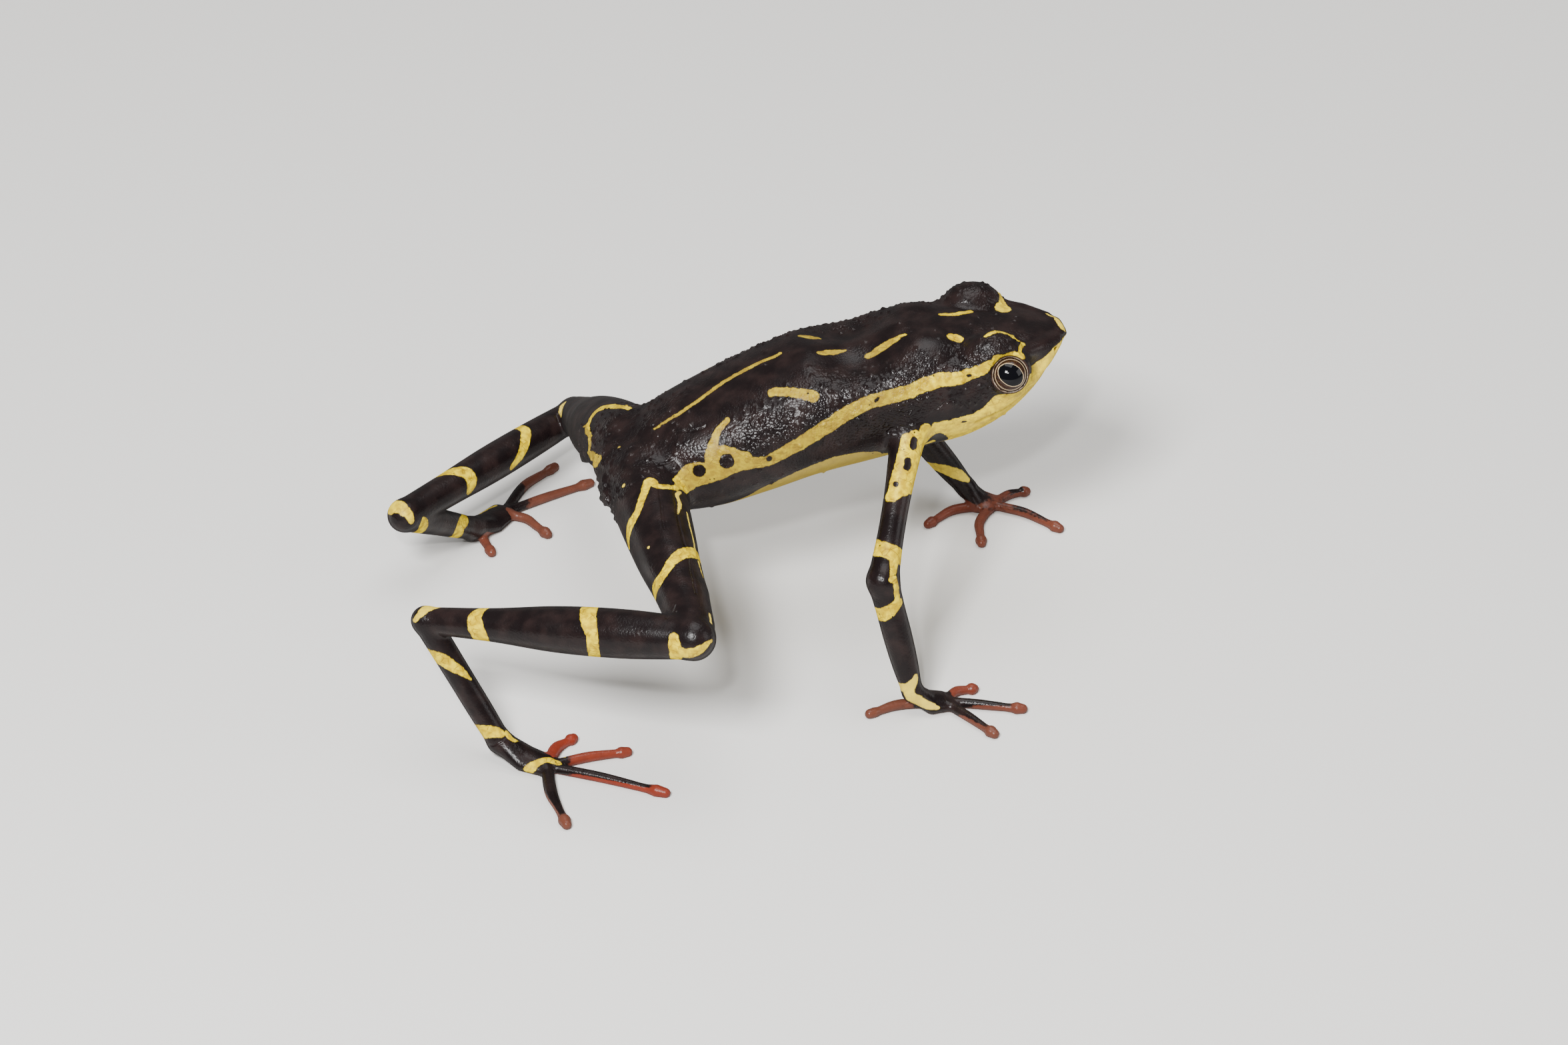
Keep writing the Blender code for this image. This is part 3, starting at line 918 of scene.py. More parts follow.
@dataclass(frozen=True)
class Markings:
    """All painted lines of the toad, and the skin's values at its points."""

    trunk: Trunk
    sides: tuple[Limbs, ...]
    strokes: tuple[Stroke, ...]
    host_reach: float = 0.6  # how far off its own surface a stroke still paints
    paint_reach: float = 0.8  # how far beside a stroke its distance is measured
    run_reach: float = 0.3  # how far past a stroke's ends the skin is searched for it
    stroke_cells: int = 8  # how many fine places there are from place to place
    dot: float = 1e-3  # the length of a stroke with one place
    unpainted: float = 2.0  # the distance from the yellow's edge where there is none
    unfolded: float = 1.0
    belly_reach: float = 0.25  # how far off the trunk the belly's yellow lies
    belly_end: float = 1.5
    belly_level: float = 7.0
    belly_cream: tuple[float, float, float] = (0.25, 0.45, 0.2)  # middle, behind, in front
    cream_behind: Span = (20.0, 17.0)
    cream_front: Span = (23.0, 26.0)
    belly_edge: tuple[Span, ...] = (
        (0, 150), (5.5, 135), (7.7, 128), (8.6, 122), (9.3, 115), (10.8, 110), (12.1, 108),
        (13.7, 106.5), (15.3, 109.5), (16.4, 115), (17.2, 124), (18.4, 130), (19.2, 116),
        (19.6, 98), (20.5, 97), (21.8, 96), (22.7, 93.5), (23.4, 86), (24.2, 84), (25.1, 81),
        (25.5, 76), (26.1, 82), (26.8, 81), (27.4, 80), (28, 82), (28.7, 90),
    )

    def surfaces(self) -> dict[str, Form]:
        """Gather every named surface that a stroke can lie on, and the digits.

        Returns:
            The surfaces under their names.
        """
        forms: dict[str, Form] = {"trunk": self.trunk}
        for limbs in self.sides:
            for part, form in limbs.parts().items():
                forms[f"{part}_{limbs.name}"] = form
            for kind, palm, digits, _ in limbs.ends():
                for number, digit in enumerate(digits):
                    forms[f"{kind}_{number}_{limbs.name}"] = digit.form(palm)
        return forms

    def _measure(self, form: Form, points: Values) -> Values:
        """Measure points in a surface's own way.

        Args:
            form: A bone or the trunk.
            points: The points.

        Returns:
            Each point's run along the surface and its turn round it.
        """
        if isinstance(form, Bone):
            along, up, side = form.axes()
            apart = points - np.array(form.start)
            run = apart @ along
            turn = np.arctan2(apart @ side, apart @ up)
        else:
            x, y, z = points.T
            run = x
            turn = np.arctan2(-y, z - form.section(x)[0])
        return np.column_stack([run, turn])

    def _path(self, stroke: Stroke, form: Form, host: Values) -> tuple[Values, Values]:
        """Lay a stroke along the skin.

        Args:
            stroke: The stroke.
            form: The surface that it lies on.
            host: The skin's points on that surface.

        Returns:
            The points of its fine path and the half width at each.
        """
        places = np.array(stroke.places, dtype=float)
        spread = np.linspace(0.0, 1.0, len(stroke.half))
        half = np.interp(np.linspace(0.0, 1.0, len(places)), spread, stroke.half)
        if len(places) == 1:
            places = np.vstack([places, places + self.dot])
            half = np.repeat(half, 2)
        free = places.shape[1] == 3
        if not free:
            places[:, 1] = np.radians(places[:, 1])
        count = self.stroke_cells * (len(places) - 1) + 1
        fine = smooth_table(np.column_stack([places, half]), count)
        if free:
            return fine[:, :3], fine[:, 3]
        run = self._measure(form, host)
        first = fine[:, 0].min() - self.run_reach
        last = fine[:, 0].max() + self.run_reach
        window = (run[:, 0] > first) & (run[:, 0] < last)
        host = host[window]
        run = run[window]
        path = []
        for place in fine[:, :2]:
            apart = run - place
            apart[:, 1] = (apart[:, 1] + math.pi) % (2.0 * math.pi) - math.pi
            path.append(host[np.argmin(apart[:, 0] ** 2 + apart[:, 1] ** 2)])
        path = np.array(path)
        if len(path) > 4:
            path[1:-1] = (path[:-2] + path[1:-1] + path[2:]) / 3.0
        return path, fine[:, 2]

    def distances(self, points: Values, near: dict[str, Values]) -> dict[str, Values]:
        """Measure the skin's points from the edges of the yellow and from the folds.

        Args:
            points: The skin's points.
            near: Each surface's distance from the points.

        Returns:
            The values under the names yellow, pale and crease.
        """
        closest = np.min(list(near.values()), axis=0)
        on_trunk = (near["trunk"] < closest + self.belly_reach) & (points[:, 0] > self.belly_end)
        on_belly = on_trunk & (points[:, 2] > self.belly_level)
        yellow = np.where(on_belly, self.belly(points), self.unpainted)
        pale = np.where(yellow < 0.0, self.belly_pale(points[:, 0]), 0.0)
        crease = np.full(len(points), self.unfolded)
        forms = self.surfaces()
        for stroke in [line for mark in Mark for line in self.strokes if line.mark is mark]:
            on_host = near[stroke.on] < closest + self.host_reach
            path, half = self._path(stroke, forms[stroke.on], points[on_host])
            reach = half.max() + self.paint_reach
            low = path.min(axis=0) - reach
            high = path.max(axis=0) + reach
            inside = np.all((points > low) & (points < high), axis=1)
            chosen = np.flatnonzero(inside & on_host)
            line = Cord(tuple(map(tuple, path)), tuple(half))
            gap = line.distance(points[chosen].T)
            if stroke.mark is Mark.DARK:
                yellow[chosen] = np.maximum(yellow[chosen], -gap)
            elif stroke.mark is Mark.CREASE:
                crease[chosen] = np.minimum(crease[chosen], gap)
            else:
                nearer = gap < yellow[chosen]
                pale[chosen] = np.where(nearer, stroke.pale, pale[chosen])
                yellow[chosen] = np.minimum(yellow[chosen], gap)
        return {"yellow": yellow, "pale": pale, "crease": crease}

    def belly_pale(self, x: Values) -> Values:
        """Grade the belly's and the lip's yellow.

        Args:
            x: Distances forward of the vent.

        Returns:
            How far the yellow goes towards cream.
        """
        middle, behind, front = self.belly_cream
        rear = behind * smooth_step(*self.cream_behind, x)
        return middle + rear + front * smooth_step(*self.cream_front, x)

    def belly(self, points: Values) -> Values:
        """Measure points from the edge of the belly and lip.

        Args:
            points: The skin's points.

        Returns:
            The signed distances, negative below the edge.
        """
        x, y, z = points.T
        edge = np.array(self.belly_edge)
        slope = np.gradient(np.radians(edge[:, 1]), edge[:, 0])
        middle = self.trunk.section(x)[0]
        away = np.hypot(y, z - middle)
        steep = away * np.interp(x, edge[:, 0], slope)
        rise = np.interp(x, edge[:, 0], edge[:, 1]) - self.trunk.turn_of(points)
        return np.radians(rise) * away / np.sqrt(1.0 + steep**2)


UPPER = "upper_arm_right"
FORE = "forearm_right"
BOTH_SIDES = (
    # the dorsolateral stripe, from over the eye to the thigh
    Stroke(
        "trunk",
        (
            (25, 58), (24.5, 56), (23.8, 55), (23.1, 57), (22.8, 59), (22.1, 61), (21.2, 63),
            (19.8, 63), (18.5, 66), (17.3, 67), (16, 67), (14.6, 71), (13.2, 77), (12, 82),
            (10.8, 85), (9.6, 87), (8.7, 84), (7.9, 81), (7.1, 80), (6.2, 81), (5.5, 82),
        ),
        (
            0.1, 0.09, 0.14, 0.25, 0.32, 0.36, 0.4, 0.42, 0.4, 0.42, 0.4, 0.43, 0.44, 0.44, 0.4,
            0.36, 0.36, 0.5, 0.62, 0.66, 0.6,
        ),
    ),
    Stroke("trunk", ((6.7, 72), (6.6, 61), (6.9, 52), (7.6, 45)), (0.7, 0.32, 0.22, 0.17)),
    Stroke("trunk", ((7.2, 66), (7.8, 72), (8.5, 78)), (0.3, 0.3, 0.3)),
    *spots("trunk", (7.3, 75, 0.46), (5.7, 77.5, 0.4), (9.8, 86, 0.2)),
    Stroke("trunk", ((21.8, 62), (22, 61.5)), (0.09,), Mark.DARK),
    Stroke("trunk", ((16.2, 67), (16.4, 66)), (0.1,), Mark.DARK),
    # a speck on the lip, and the dark place behind the jaw
    Stroke("trunk", ((21.5, 102), (21.75, 102)), (0.08,), Mark.DARK),
    Stroke(
        "trunk",
        ((19.5, 116), (20.1, 114), (20.4, 122), (19.6, 134)),
        (0.3, 0.36, 0.4, 0.5),
        Mark.DARK,
    ),
)
STROKES = (
    # marks beside the spine
    Stroke("trunk", ((21.35, 25), (21.75, 28)), (0.29,)),
    Stroke("trunk", ((16.4, 22.8), (17.4, 18.2), (18.7, 15.6)), (0.2, 0.28, 0.07)),
    Stroke("trunk", ((13.6, 9.6), (14.3, 8), (15.2, 7)), (0.15, 0.23, 0.07)),
    Stroke(
        "trunk",
        ((3.6, 21), (4.8, 17), (6.2, 11), (7.5, 3), (8.9, -2), (10.2, -4.5), (11.4, -5)),
        (0.08, 0.12, 0.13, 0.15, 0.16, 0.15, 0.13),
    ),
    Stroke("trunk", ((10.4, 36), (11.2, 41), (12, 46.5), (12.6, 52)), (0.28, 0.29, 0.31, 0.36)),
    *spots("trunk", (12.35, 49, 0.06)),
    Stroke("trunk", ((12.9, -25.5), (13.4, -22.5), (14, -21)), (0.12, 0.26, 0.08)),
    Stroke("trunk", ((21.2, -11.5), (22, -12), (23.1, -19)), (0.13, 0.18, 0.14)),
    Stroke("trunk", ((10, -56), (11, -58), (12, -62)), (0.2, 0.3, 0.2)),
    # the crest round the right lid, the line over the right eye, and the left lid's patch
    Stroke(
        "trunk",
        (
            (23.11, -2.82, 19.45), (23.42, -2.66, 19.48), (24.06, -2.34, 19.34),
            (24.52, -2.5, 19.3), (24.89, -2.6, 19.03), (25.15, -2.5, 18.8), (25.42, -2.3, 18.45),
        ),
        (0.09, 0.18, 0.24, 0.27, 0.28, 0.28, 0.3),
    ),
    Stroke(
        "trunk",
        ((25.42, -2.3, 18.45), (25.3, -2.9, 18.58), (25.09, -3.54, 18.67), (25.1, -3.8, 18.5)),
        (0.24, 0.15, 0.14, 0.18),
    ),
    Stroke(
        "trunk",
        (
            (25.18, -3.8, 18.42), (24.94, -3.88, 18.52), (24.62, -3.9, 18.62),
            (24.3, -3.95, 18.6), (23.98, -4, 18.52), (23.51, -4.1, 18.6),
        ),
        (0.2, 0.2, 0.2, 0.2, 0.22, 0.26),
    ),
    Stroke(
        "trunk",
        ((25.3, -60), (25.3, -50), (25.28, -42), (25.2, -34)),
        (0.12, 0.2, 0.34, 0.5),
        pale=0.2,
    ),
    # the snout's tip
    Stroke(
        "trunk",
        (
            (27.7, 1.1, 18), (28.13, 0.5, 18.06), (28.28, -0.1, 18.04), (28.38, -0.5, 17.95),
            (28.5, -0.5, 17.7),
        ),
        (0.05, 0.08, 0.2, 0.22, 0.08),
        pale=0.5,
    ),
    # pale granules behind the hip
    Stroke("trunk", ((1.5, 18),), (0.1,), pale=0.8),
    Stroke("thigh_right", ((2, 45),), (0.12,), pale=0.6),
    Stroke("thigh_right", ((8.1, 42),), (0.09,), pale=0.9),
    # right upper arm and elbow
    Stroke(UPPER, ((0.9, -60), (1.7, -72), (3, -74), (4.4, -66)), (0.42, 0.46, 0.46, 0.42)),
    Stroke(UPPER, ((1.45, -34), (3.2, -40), (4.7, -34)), (0.42,)),
    Stroke(
        UPPER,
        ((1.7, -10), (2.4, -6), (3.4, 0), (4.5, 8), (5.2, 14)),
        (0.38, 0.36, 0.36, 0.4, 0.38),
    ),
    Stroke(UPPER, ((5.25, 28), (5.15, 6), (4.85, -17), (4.3, -65), (4.2, -100)), (0.33,)),
    Stroke(UPPER, ((2, -105), (3, -112), (4.2, -105)), (0.45,), pale=0.4),
    Stroke("trunk", ((20.6, 104), (19.8, 105), (19.2, 107)), (0.4, 0.42, 0.42), pale=0.2),
    Stroke(UPPER, ((1.72, -34), (2.05, -36)), (0.24,), Mark.DARK),
    Stroke(UPPER, ((3, -25), (3.35, -28)), (0.24,), Mark.DARK),
    *spots(UPPER, (4.5, 6, 0.19)),
    Stroke(
        UPPER,
        ((8.6, -150), (8.65, -110), (8.7, -60), (8.6, -10), (8.45, 40), (8.3, 85), (8.4, 140)),
        (0.48,),
    ),
    Stroke(UPPER, ((8.9, -45), (9.6, -42), (10.3, -40)), (0.38, 0.24, 0.2)),
    Stroke(
        FORE,
        ((-0.3, -3), (0.2, -2), (0.7, 0), (1.1, 2), (1.4, 8)),
        (0.2, 0.2, 0.2, 0.22, 0.3),
    ),
    Stroke(
        FORE,
        ((1.35, -8), (1.4, 10), (1.65, 50), (1.8, 86), (1.8, 130), (1.7, 170)),
        (0.22, 0.3, 0.38, 0.42, 0.4, 0.36),
    ),
    Stroke(
        FORE,
        ((6.1, 2), (6.35, 15), (6.6, 40), (6.7, 78), (6.6, 120)),
        (0.12, 0.24, 0.28, 0.3, 0.25),
        pale=0.7,
    ),
    Stroke(FORE, ((6.9, 62), (7.35, 58)), (0.36, 0.36), pale=0.7),
    Stroke(
        "hand_right",
        ((16.95, -13.15, 1.25), (17.34, -13.31, 0.95), (17.8, -13.4, 0.81), (18.3, -13.5, 0.65)),
        (0.36, 0.32, 0.24, 0.14),
        pale=0.7,
    ),
    # right thigh
    Stroke("trunk", ((5.9, 80), (5.3, 80), (4.9, 82)), (0.7, 0.72, 0.66)),
    Stroke("thigh_right", ((2.3, -46), (1.9, -54), (1.9, -66)), (0.3, 0.36, 0.45)),
    Stroke(
        "thigh_right",
        (
            (2.2, -66), (2.6, -48), (3.2, -31), (3.3, -10), (2.7, 3), (3.4, 14), (4.3, 28),
            (5, 43), (5.2, 58), (5.4, 70), (5.9, 92),
        ),
        (0.3, 0.22, 0.2, 0.22, 0.3, 0.25, 0.24, 0.3, 0.4, 0.36, 0.2),
    ),
    Stroke(
        "thigh_right",
        ((3.1, -50), (3.7, -38), (4.5, -39), (5.7, -29)),
        (0.08, 0.14, 0.15, 0.04),
        pale=0.6,
    ),
    Stroke("thigh_right", ((5, -53), (6.4, -54), (7.3, -57), (8.4, -56)), (0.07,), pale=0.8),
    Stroke(
        "thigh_right",
        (
            (9.3, -110), (8.9, -80), (8.75, -58), (9, -45), (9.45, -20), (10, 5), (10.55, 25),
            (10.85, 45), (10.9, 60), (10.95, 78), (11, 100),
        ),
        (0.24, 0.32, 0.4, 0.42, 0.4, 0.34, 0.3, 0.36, 0.42, 0.4, 0.2),
    ),
    Stroke("thigh_right", ((9.4, -60), (10.8, -64)), (0.1, 0.04), pale=0.6),
    # right knee, shank and heel
    Stroke(
        "shank_right",
        ((0.75, -55), (0.7, -70), (0.65, -85), (0.7, -105), (0.9, -130)),
        (0.26, 0.36, 0.38, 0.38, 0.3),
    ),
    Stroke(
        "shank_right",
        ((0.5, -96), (-0.2, -98), (-0.7, -92), (-1.05, -80), (-1.2, -62)),
        (0.38, 0.34, 0.28, 0.2, 0.08),
        pale=0.15,
    ),
    Stroke("thigh_right", ((14.5, -56), (15.3, -54)), (0.09, 0.11), pale=1),
    Stroke(
        "shank_right",
        ((6.6, 60), (6.3, 5), (6, -33), (5.7, -60), (5.7, -91), (5.8, -117), (6.2, -160)),
        (0.4, 0.5, 0.46, 0.38, 0.36, 0.36, 0.3),
    ),
    Stroke(
        "shank_right",
        ((12.9, 60), (13.1, 6), (13.3, -28), (13.2, -62), (13.05, -90), (13, -130)),
        (0.3, 0.3, 0.4, 0.5, 0.54, 0.5),
    ),
    Stroke(
        "shank_right",
        ((16.2, 40), (16.5, 5), (16.75, -29), (17.1, -57)),
        (0.5, 0.34, 0.24, 0.14),
        pale=0.4,
    ),
    # right tarsus, ankle and foot
    Stroke(
        "tarsus_right",
        ((1.9, 165), (2, 119), (2.3, 81), (2.9, 54), (3.5, 28), (4.3, 8)),
        (0.5, 0.5, 0.42, 0.34, 0.25, 0.06),
    ),
    Stroke(
        "tarsus_right",
        ((7.2, 150), (7.4, 93), (7.6, 52), (7.95, 18)),
        (0.5, 0.46, 0.34, 0.26),
    ),
    Stroke(
        "foot_right",
        ((-7.35, -12.75, 1.75), (-7.05, -13, 1.5), (-6.7, -13, 1.3)),
        (0.22, 0.15, 0.05),
    ),
    Stroke(
        "foot_right",
        (
            (-6.5, -14.9, 0.45), (-6.2, -14.75, 0.7), (-5.67, -14.55, 0.85), (-5.18, -14.4, 0.8),
            (-4.6, -14.6, 0.62),
        ),
        (0.36, 0.3, 0.22, 0.22, 0.2),
    ),
    Stroke("foot_right", ((-4.2, -13.95, 0.6), (-3.7, -13.95, 0.55)), (0.16, 0.12), pale=0.5),
    # left thigh, knee and shank
    Stroke(
        "thigh_left",
        ((-0.7, 0), (0.2, -5), (1.4, -13), (2.1, -20), (2.7, -34), (2.6, -46), (2.1, -60)),
        (0.14, 0.26, 0.32, 0.34, 0.3, 0.26, 0.2),
    ),
    Stroke(
        "trunk",
        (
            (0.5, 4.4, 11.2), (0.24, 3.42, 11.45), (0.24, 2.46, 11.7), (0.12, 1.85, 11.5),
            (0.05, 1.75, 11.1),
        ),
        (0.2, 0.15, 0.15, 0.2, 0.26),
    ),
    Stroke(
        "trunk",
        ((0.05, 1.8, 10.9), (0.1, 0.8, 11.3), (0.2, -0.2, 11.75), (0.35, -0.4, 12)),
        (0.24, 0.36, 0.36, 0.2),
    ),
    Stroke("thigh_left", ((14.4, -44), (14, -60), (13.4, -74)), (0.26, 0.2, 0.12), pale=0.9),
    Stroke(
        "thigh_left",
        ((8, 150), (8.6, 120), (9.2, 90), (9.8, 60), (10.2, 40)),
        (0.25, 0.36, 0.36, 0.34, 0.1),
    ),
    Stroke(
        "shank_left",
        ((4.6, 100), (4.8, 40), (4.95, -7), (5.5, -36), (6.35, -69), (7.3, -94)),
        (0.2, 0.28, 0.33, 0.33, 0.3, 0.22),
    ),
    Stroke(
        "shank_left",
        ((12.4, 100), (12.2, 50), (11.4, 1), (10.9, -31), (10.9, -62), (11.2, -92)),
        (0.4, 0.4, 0.42, 0.45, 0.42, 0.26),
    ),
    # left heel, tarsus and foot
    Stroke(
        "tarsus_left",
        ((-0.9, -60), (-0.95, -20), (-0.85, 48), (-0.5, 92)),
        (0.5, 0.45, 0.34, 0.22),
        pale=0.2,
    ),
    Stroke(
        "tarsus_left",
        ((0.5, 78), (0.8, 94), (1.2, 142), (1.3, 180)),
        (0.12, 0.36, 0.36, 0.36),
    ),
    Stroke(
        "tarsus_left",
        ((5.7, 10), (5.4, 40), (4.8, 86), (5.1, 134), (5.2, 180)),
        (0.18, 0.34, 0.42, 0.42, 0.36),
    ),
    Stroke(
        "foot_left",
        ((-5.7, 11, 0.85), (-5, 11.8, 0.75), (-4.3, 12.15, 0.76)),
        (0.12, 0.15, 0.1),
        pale=0.6,
    ),
    # left arm
    Stroke(
        "upper_arm_left",
        ((1.8, -110), (2.6, -75), (3.6, -60), (4.6, -70)),
        (0.5, 0.6, 0.6, 0.4),
        pale=0.2,
    ),
    Stroke(
        "forearm_left",
        ((4.4, 170), (4.5, 130), (4.8, 101), (5.4, 72), (6.1, 46), (6.7, 30)),
        (0.4, 0.36, 0.34, 0.34, 0.32, 0.18),
        pale=0.5,
    ),
)
FOLDS = (
    *folds(
        "thigh_right",
        0.02,
        ((1.2, -20), (1, -50), (1.4, -85)),
        ((13.9, 100), (14.1, 70), (14.2, 40)),
    ),
    *folds(
        "thigh_right",
        0.01,
        ((2.6, -36), (4.6, -30), (7, -26), (8.7, -28)),
        ((9.8, -34), (11.4, -28), (13, -26)),
        ((2.9, -8), (5, -4), (7.2, 4)),
    ),
    *folds("thigh_left", 0.02, ((13.6, -100), (13.8, -70), (13.9, -40))),
    *folds("shank_right", 0.02, ((1.4, 60), (1.5, 30), (1.5, 0))),
    *folds("forearm_right", 0.01, ((8.3, 140), (8.35, 90), (8.3, 40))),
    *folds("tarsus_right", 0.01, ((8.3, 110), (8.35, 60), (8.3, 10))),
    *folds(
        "trunk",
        0.01,
        ((4.6, 36), (5.6, 42), (6.4, 43)),
        ((19.9, 84), (20.6, 80), (21.4, 82), (21.8, 88)),
    ),
    *folds("trunk", 0.02, ((16.9, 96), (17.5, 92), (18.2, 95))),
)


def other_side(strokes: Sequence[Stroke]) -> tuple[Stroke, ...]:
    """Repeat strokes of the right side's trunk on the left.

    Args:
        strokes: Strokes whose places are runs and turns on the trunk.

    Returns:
        The mirrored strokes.
    """
    copies = []
    for stroke in strokes:
        places = tuple((run, -turn) for run, turn in stroke.places)
        copies.append(Stroke(stroke.on, places, stroke.half, stroke.mark, stroke.pale))
    return tuple(copies)


class Signal:
    """A shader value. Arithmetic on it adds Math nodes."""

    def __init__(self, shader: "Shader", socket: bpy.types.NodeSocket) -> None:
        """Wrap one output socket."""
        self.shader = shader
        self.socket = socket

    def _math(self, operation: str, first: "Value", second: "Value") -> "Signal":
        """Add one Math node and return its result."""
        return self.shader.node("ShaderNodeMath", {"operation": operation}, {0: first, 1: second})

    def __add__(self, other: "Value") -> "Signal":
        """Return self + other."""
        return self._math("ADD", self, other)

    __radd__ = __add__

    def __sub__(self, other: "Value") -> "Signal":
        """Return self - other."""
        return self._math("SUBTRACT", self, other)

    def __rsub__(self, other: "Value") -> "Signal":
        """Return other - self."""
        return self._math("SUBTRACT", other, self)

    def __mul__(self, other: "Value") -> "Signal":
        """Return self * other."""
        return self._math("MULTIPLY", self, other)

    __rmul__ = __mul__

    def rise(self, low: float, high: float) -> "Signal":
        """Return 0 at low and 1 at high, with a soft rise between them."""
        settings = {"interpolation_type": "SMOOTHSTEP", "clamp": True}
        return self.shader.node("ShaderNodeMapRange", settings, {0: self, 1: low, 2: high})

    def fall(self, low: float, high: float) -> "Signal":
        """Return 1 at low and 0 at high, with a soft fall between them."""
        return 1.0 - self.rise(low, high)


Value = Union[float, Signal]
Feed = Union[float, tuple, Signal]


class Shader:
    """A material's nodes."""

    def __init__(self, name: str) -> None:
        """Make a material with one Principled shader.

        Args:
            name: The material's name.
        """
        self.material = bpy.data.materials.new(name)
        self.material.use_nodes = True
        self.tree = self.material.node_tree
        self.surface = self.tree.nodes["Principled BSDF"]

    def node(
        self,
        kind: str,
        settings: dict[str, object],
        sockets: dict[Union[int, str], Feed],
        output: Union[int, str] = 0,
    ) -> Signal:
        """Add a node.

        Args:
            kind: The node's type.
            settings: Its properties, which are set first.
            sockets: The values or links of its inputs.
            output: Which output to return.

        Returns:
            The chosen output.
        """
        node = self.tree.nodes.new(kind)
        for key, value in settings.items():
            setattr(node, key, value)
        for key, value in sockets.items():
            self._feed(node.inputs[key], value)
        return Signal(self, node.outputs[output])

    def _feed(self, socket: bpy.types.NodeSocket, value: Feed) -> None:
        """Link a signal to a socket, or set its value.

        Args:
            socket: The input.
            value: What goes into it.
        """
        if isinstance(value, Signal):
            self.tree.links.new(value.socket, socket)
        else:
            socket.default_value = value

    def place(self, stretch: Point = (1.0, 1.0, 1.0)) -> Signal:
        """Find the point of the object in millimetres.

        Args:
            stretch: How far the point is stretched along each axis.

        Returns:
            The point.
        """
        point = self.node("ShaderNodeTexCoord", {}, {}, "Object")
        scale = tuple(value / METRES for value in stretch)
        return self.node("ShaderNodeVectorMath", {"operation": "MULTIPLY"}, {0: point, 1: scale})

    def noise(self, place: Signal, scale: float, detail: float) -> Signal:
        """Return smooth noise from 0 to 1."""
        sockets = {"Vector": place, "Scale": scale, "Detail": detail}
        return self.node("ShaderNodeTexNoise", {}, sockets)

    def cells(self, place: Signal, scale: float, feature: str = "F1") -> Signal:
        """Return the distance from the nearest of scattered points."""
        sockets = {"Vector": place, "Scale": scale}
        return self.node("ShaderNodeTexVoronoi", {"feature": feature}, sockets)

    def value(self, name: str) -> Signal:
        """Return a value stored at the mesh's points."""
        return self.node("ShaderNodeAttribute", {"attribute_name": name}, {}, "Fac")

    def blend(self, share: Value, low: Feed, high: Feed) -> Signal:
        """Return the colour that goes from low to high with share."""
        # a Mix node's sockets for colours are 6 and 7, and its output for them is 2
        return self.node("ShaderNodeMix", {"data_type": "RGBA"}, {0: share, 6: low, 7: high}, 2)

    def bump(self, height: Signal, depth: float, under: Union[Signal, None] = None) -> Signal:
        """Bend the surface's normal.

        Args:
            height: The height, from 0 to 1.
            depth: How many millimetres a height of 1 stands out.
            under: An earlier bump, if there is one.

        Returns:
            The bent normal.
        """
        sockets: dict[Union[int, str], Feed] = {
            "Height": height,
            "Distance": depth * METRES,
            "Strength": 1.0,
        }
        if under is not None:
            sockets["Normal"] = under
        return self.node("ShaderNodeBump", {}, sockets)

    def finish(self, **sockets: Feed) -> bpy.types.Material:
        """Set the surface's sockets.

        Args:
            **sockets: The values or links of its sockets, with lines for spaces in the names.

        Returns:
            The material.
        """
        for key, value in sockets.items():
            self._feed(self.surface.inputs[key.replace("_", " ")], value)
        return self.material


@dataclass(frozen=True)
class Patches:
    """Soft patches of noise."""

    scale: float  # how many there are in a millimetre
    detail: float
    span: Span  # where they set in

    def share(self, shader: Shader, place: Signal) -> Signal:
        """Return 1 inside the patches and 0 between them."""
        return shader.noise(place, self.scale, self.detail).rise(*self.span)


def rgb(red: float, green: float, blue: float) -> Colour:
    """Return an opaque colour."""
    return (red, green, blue, 1.0)


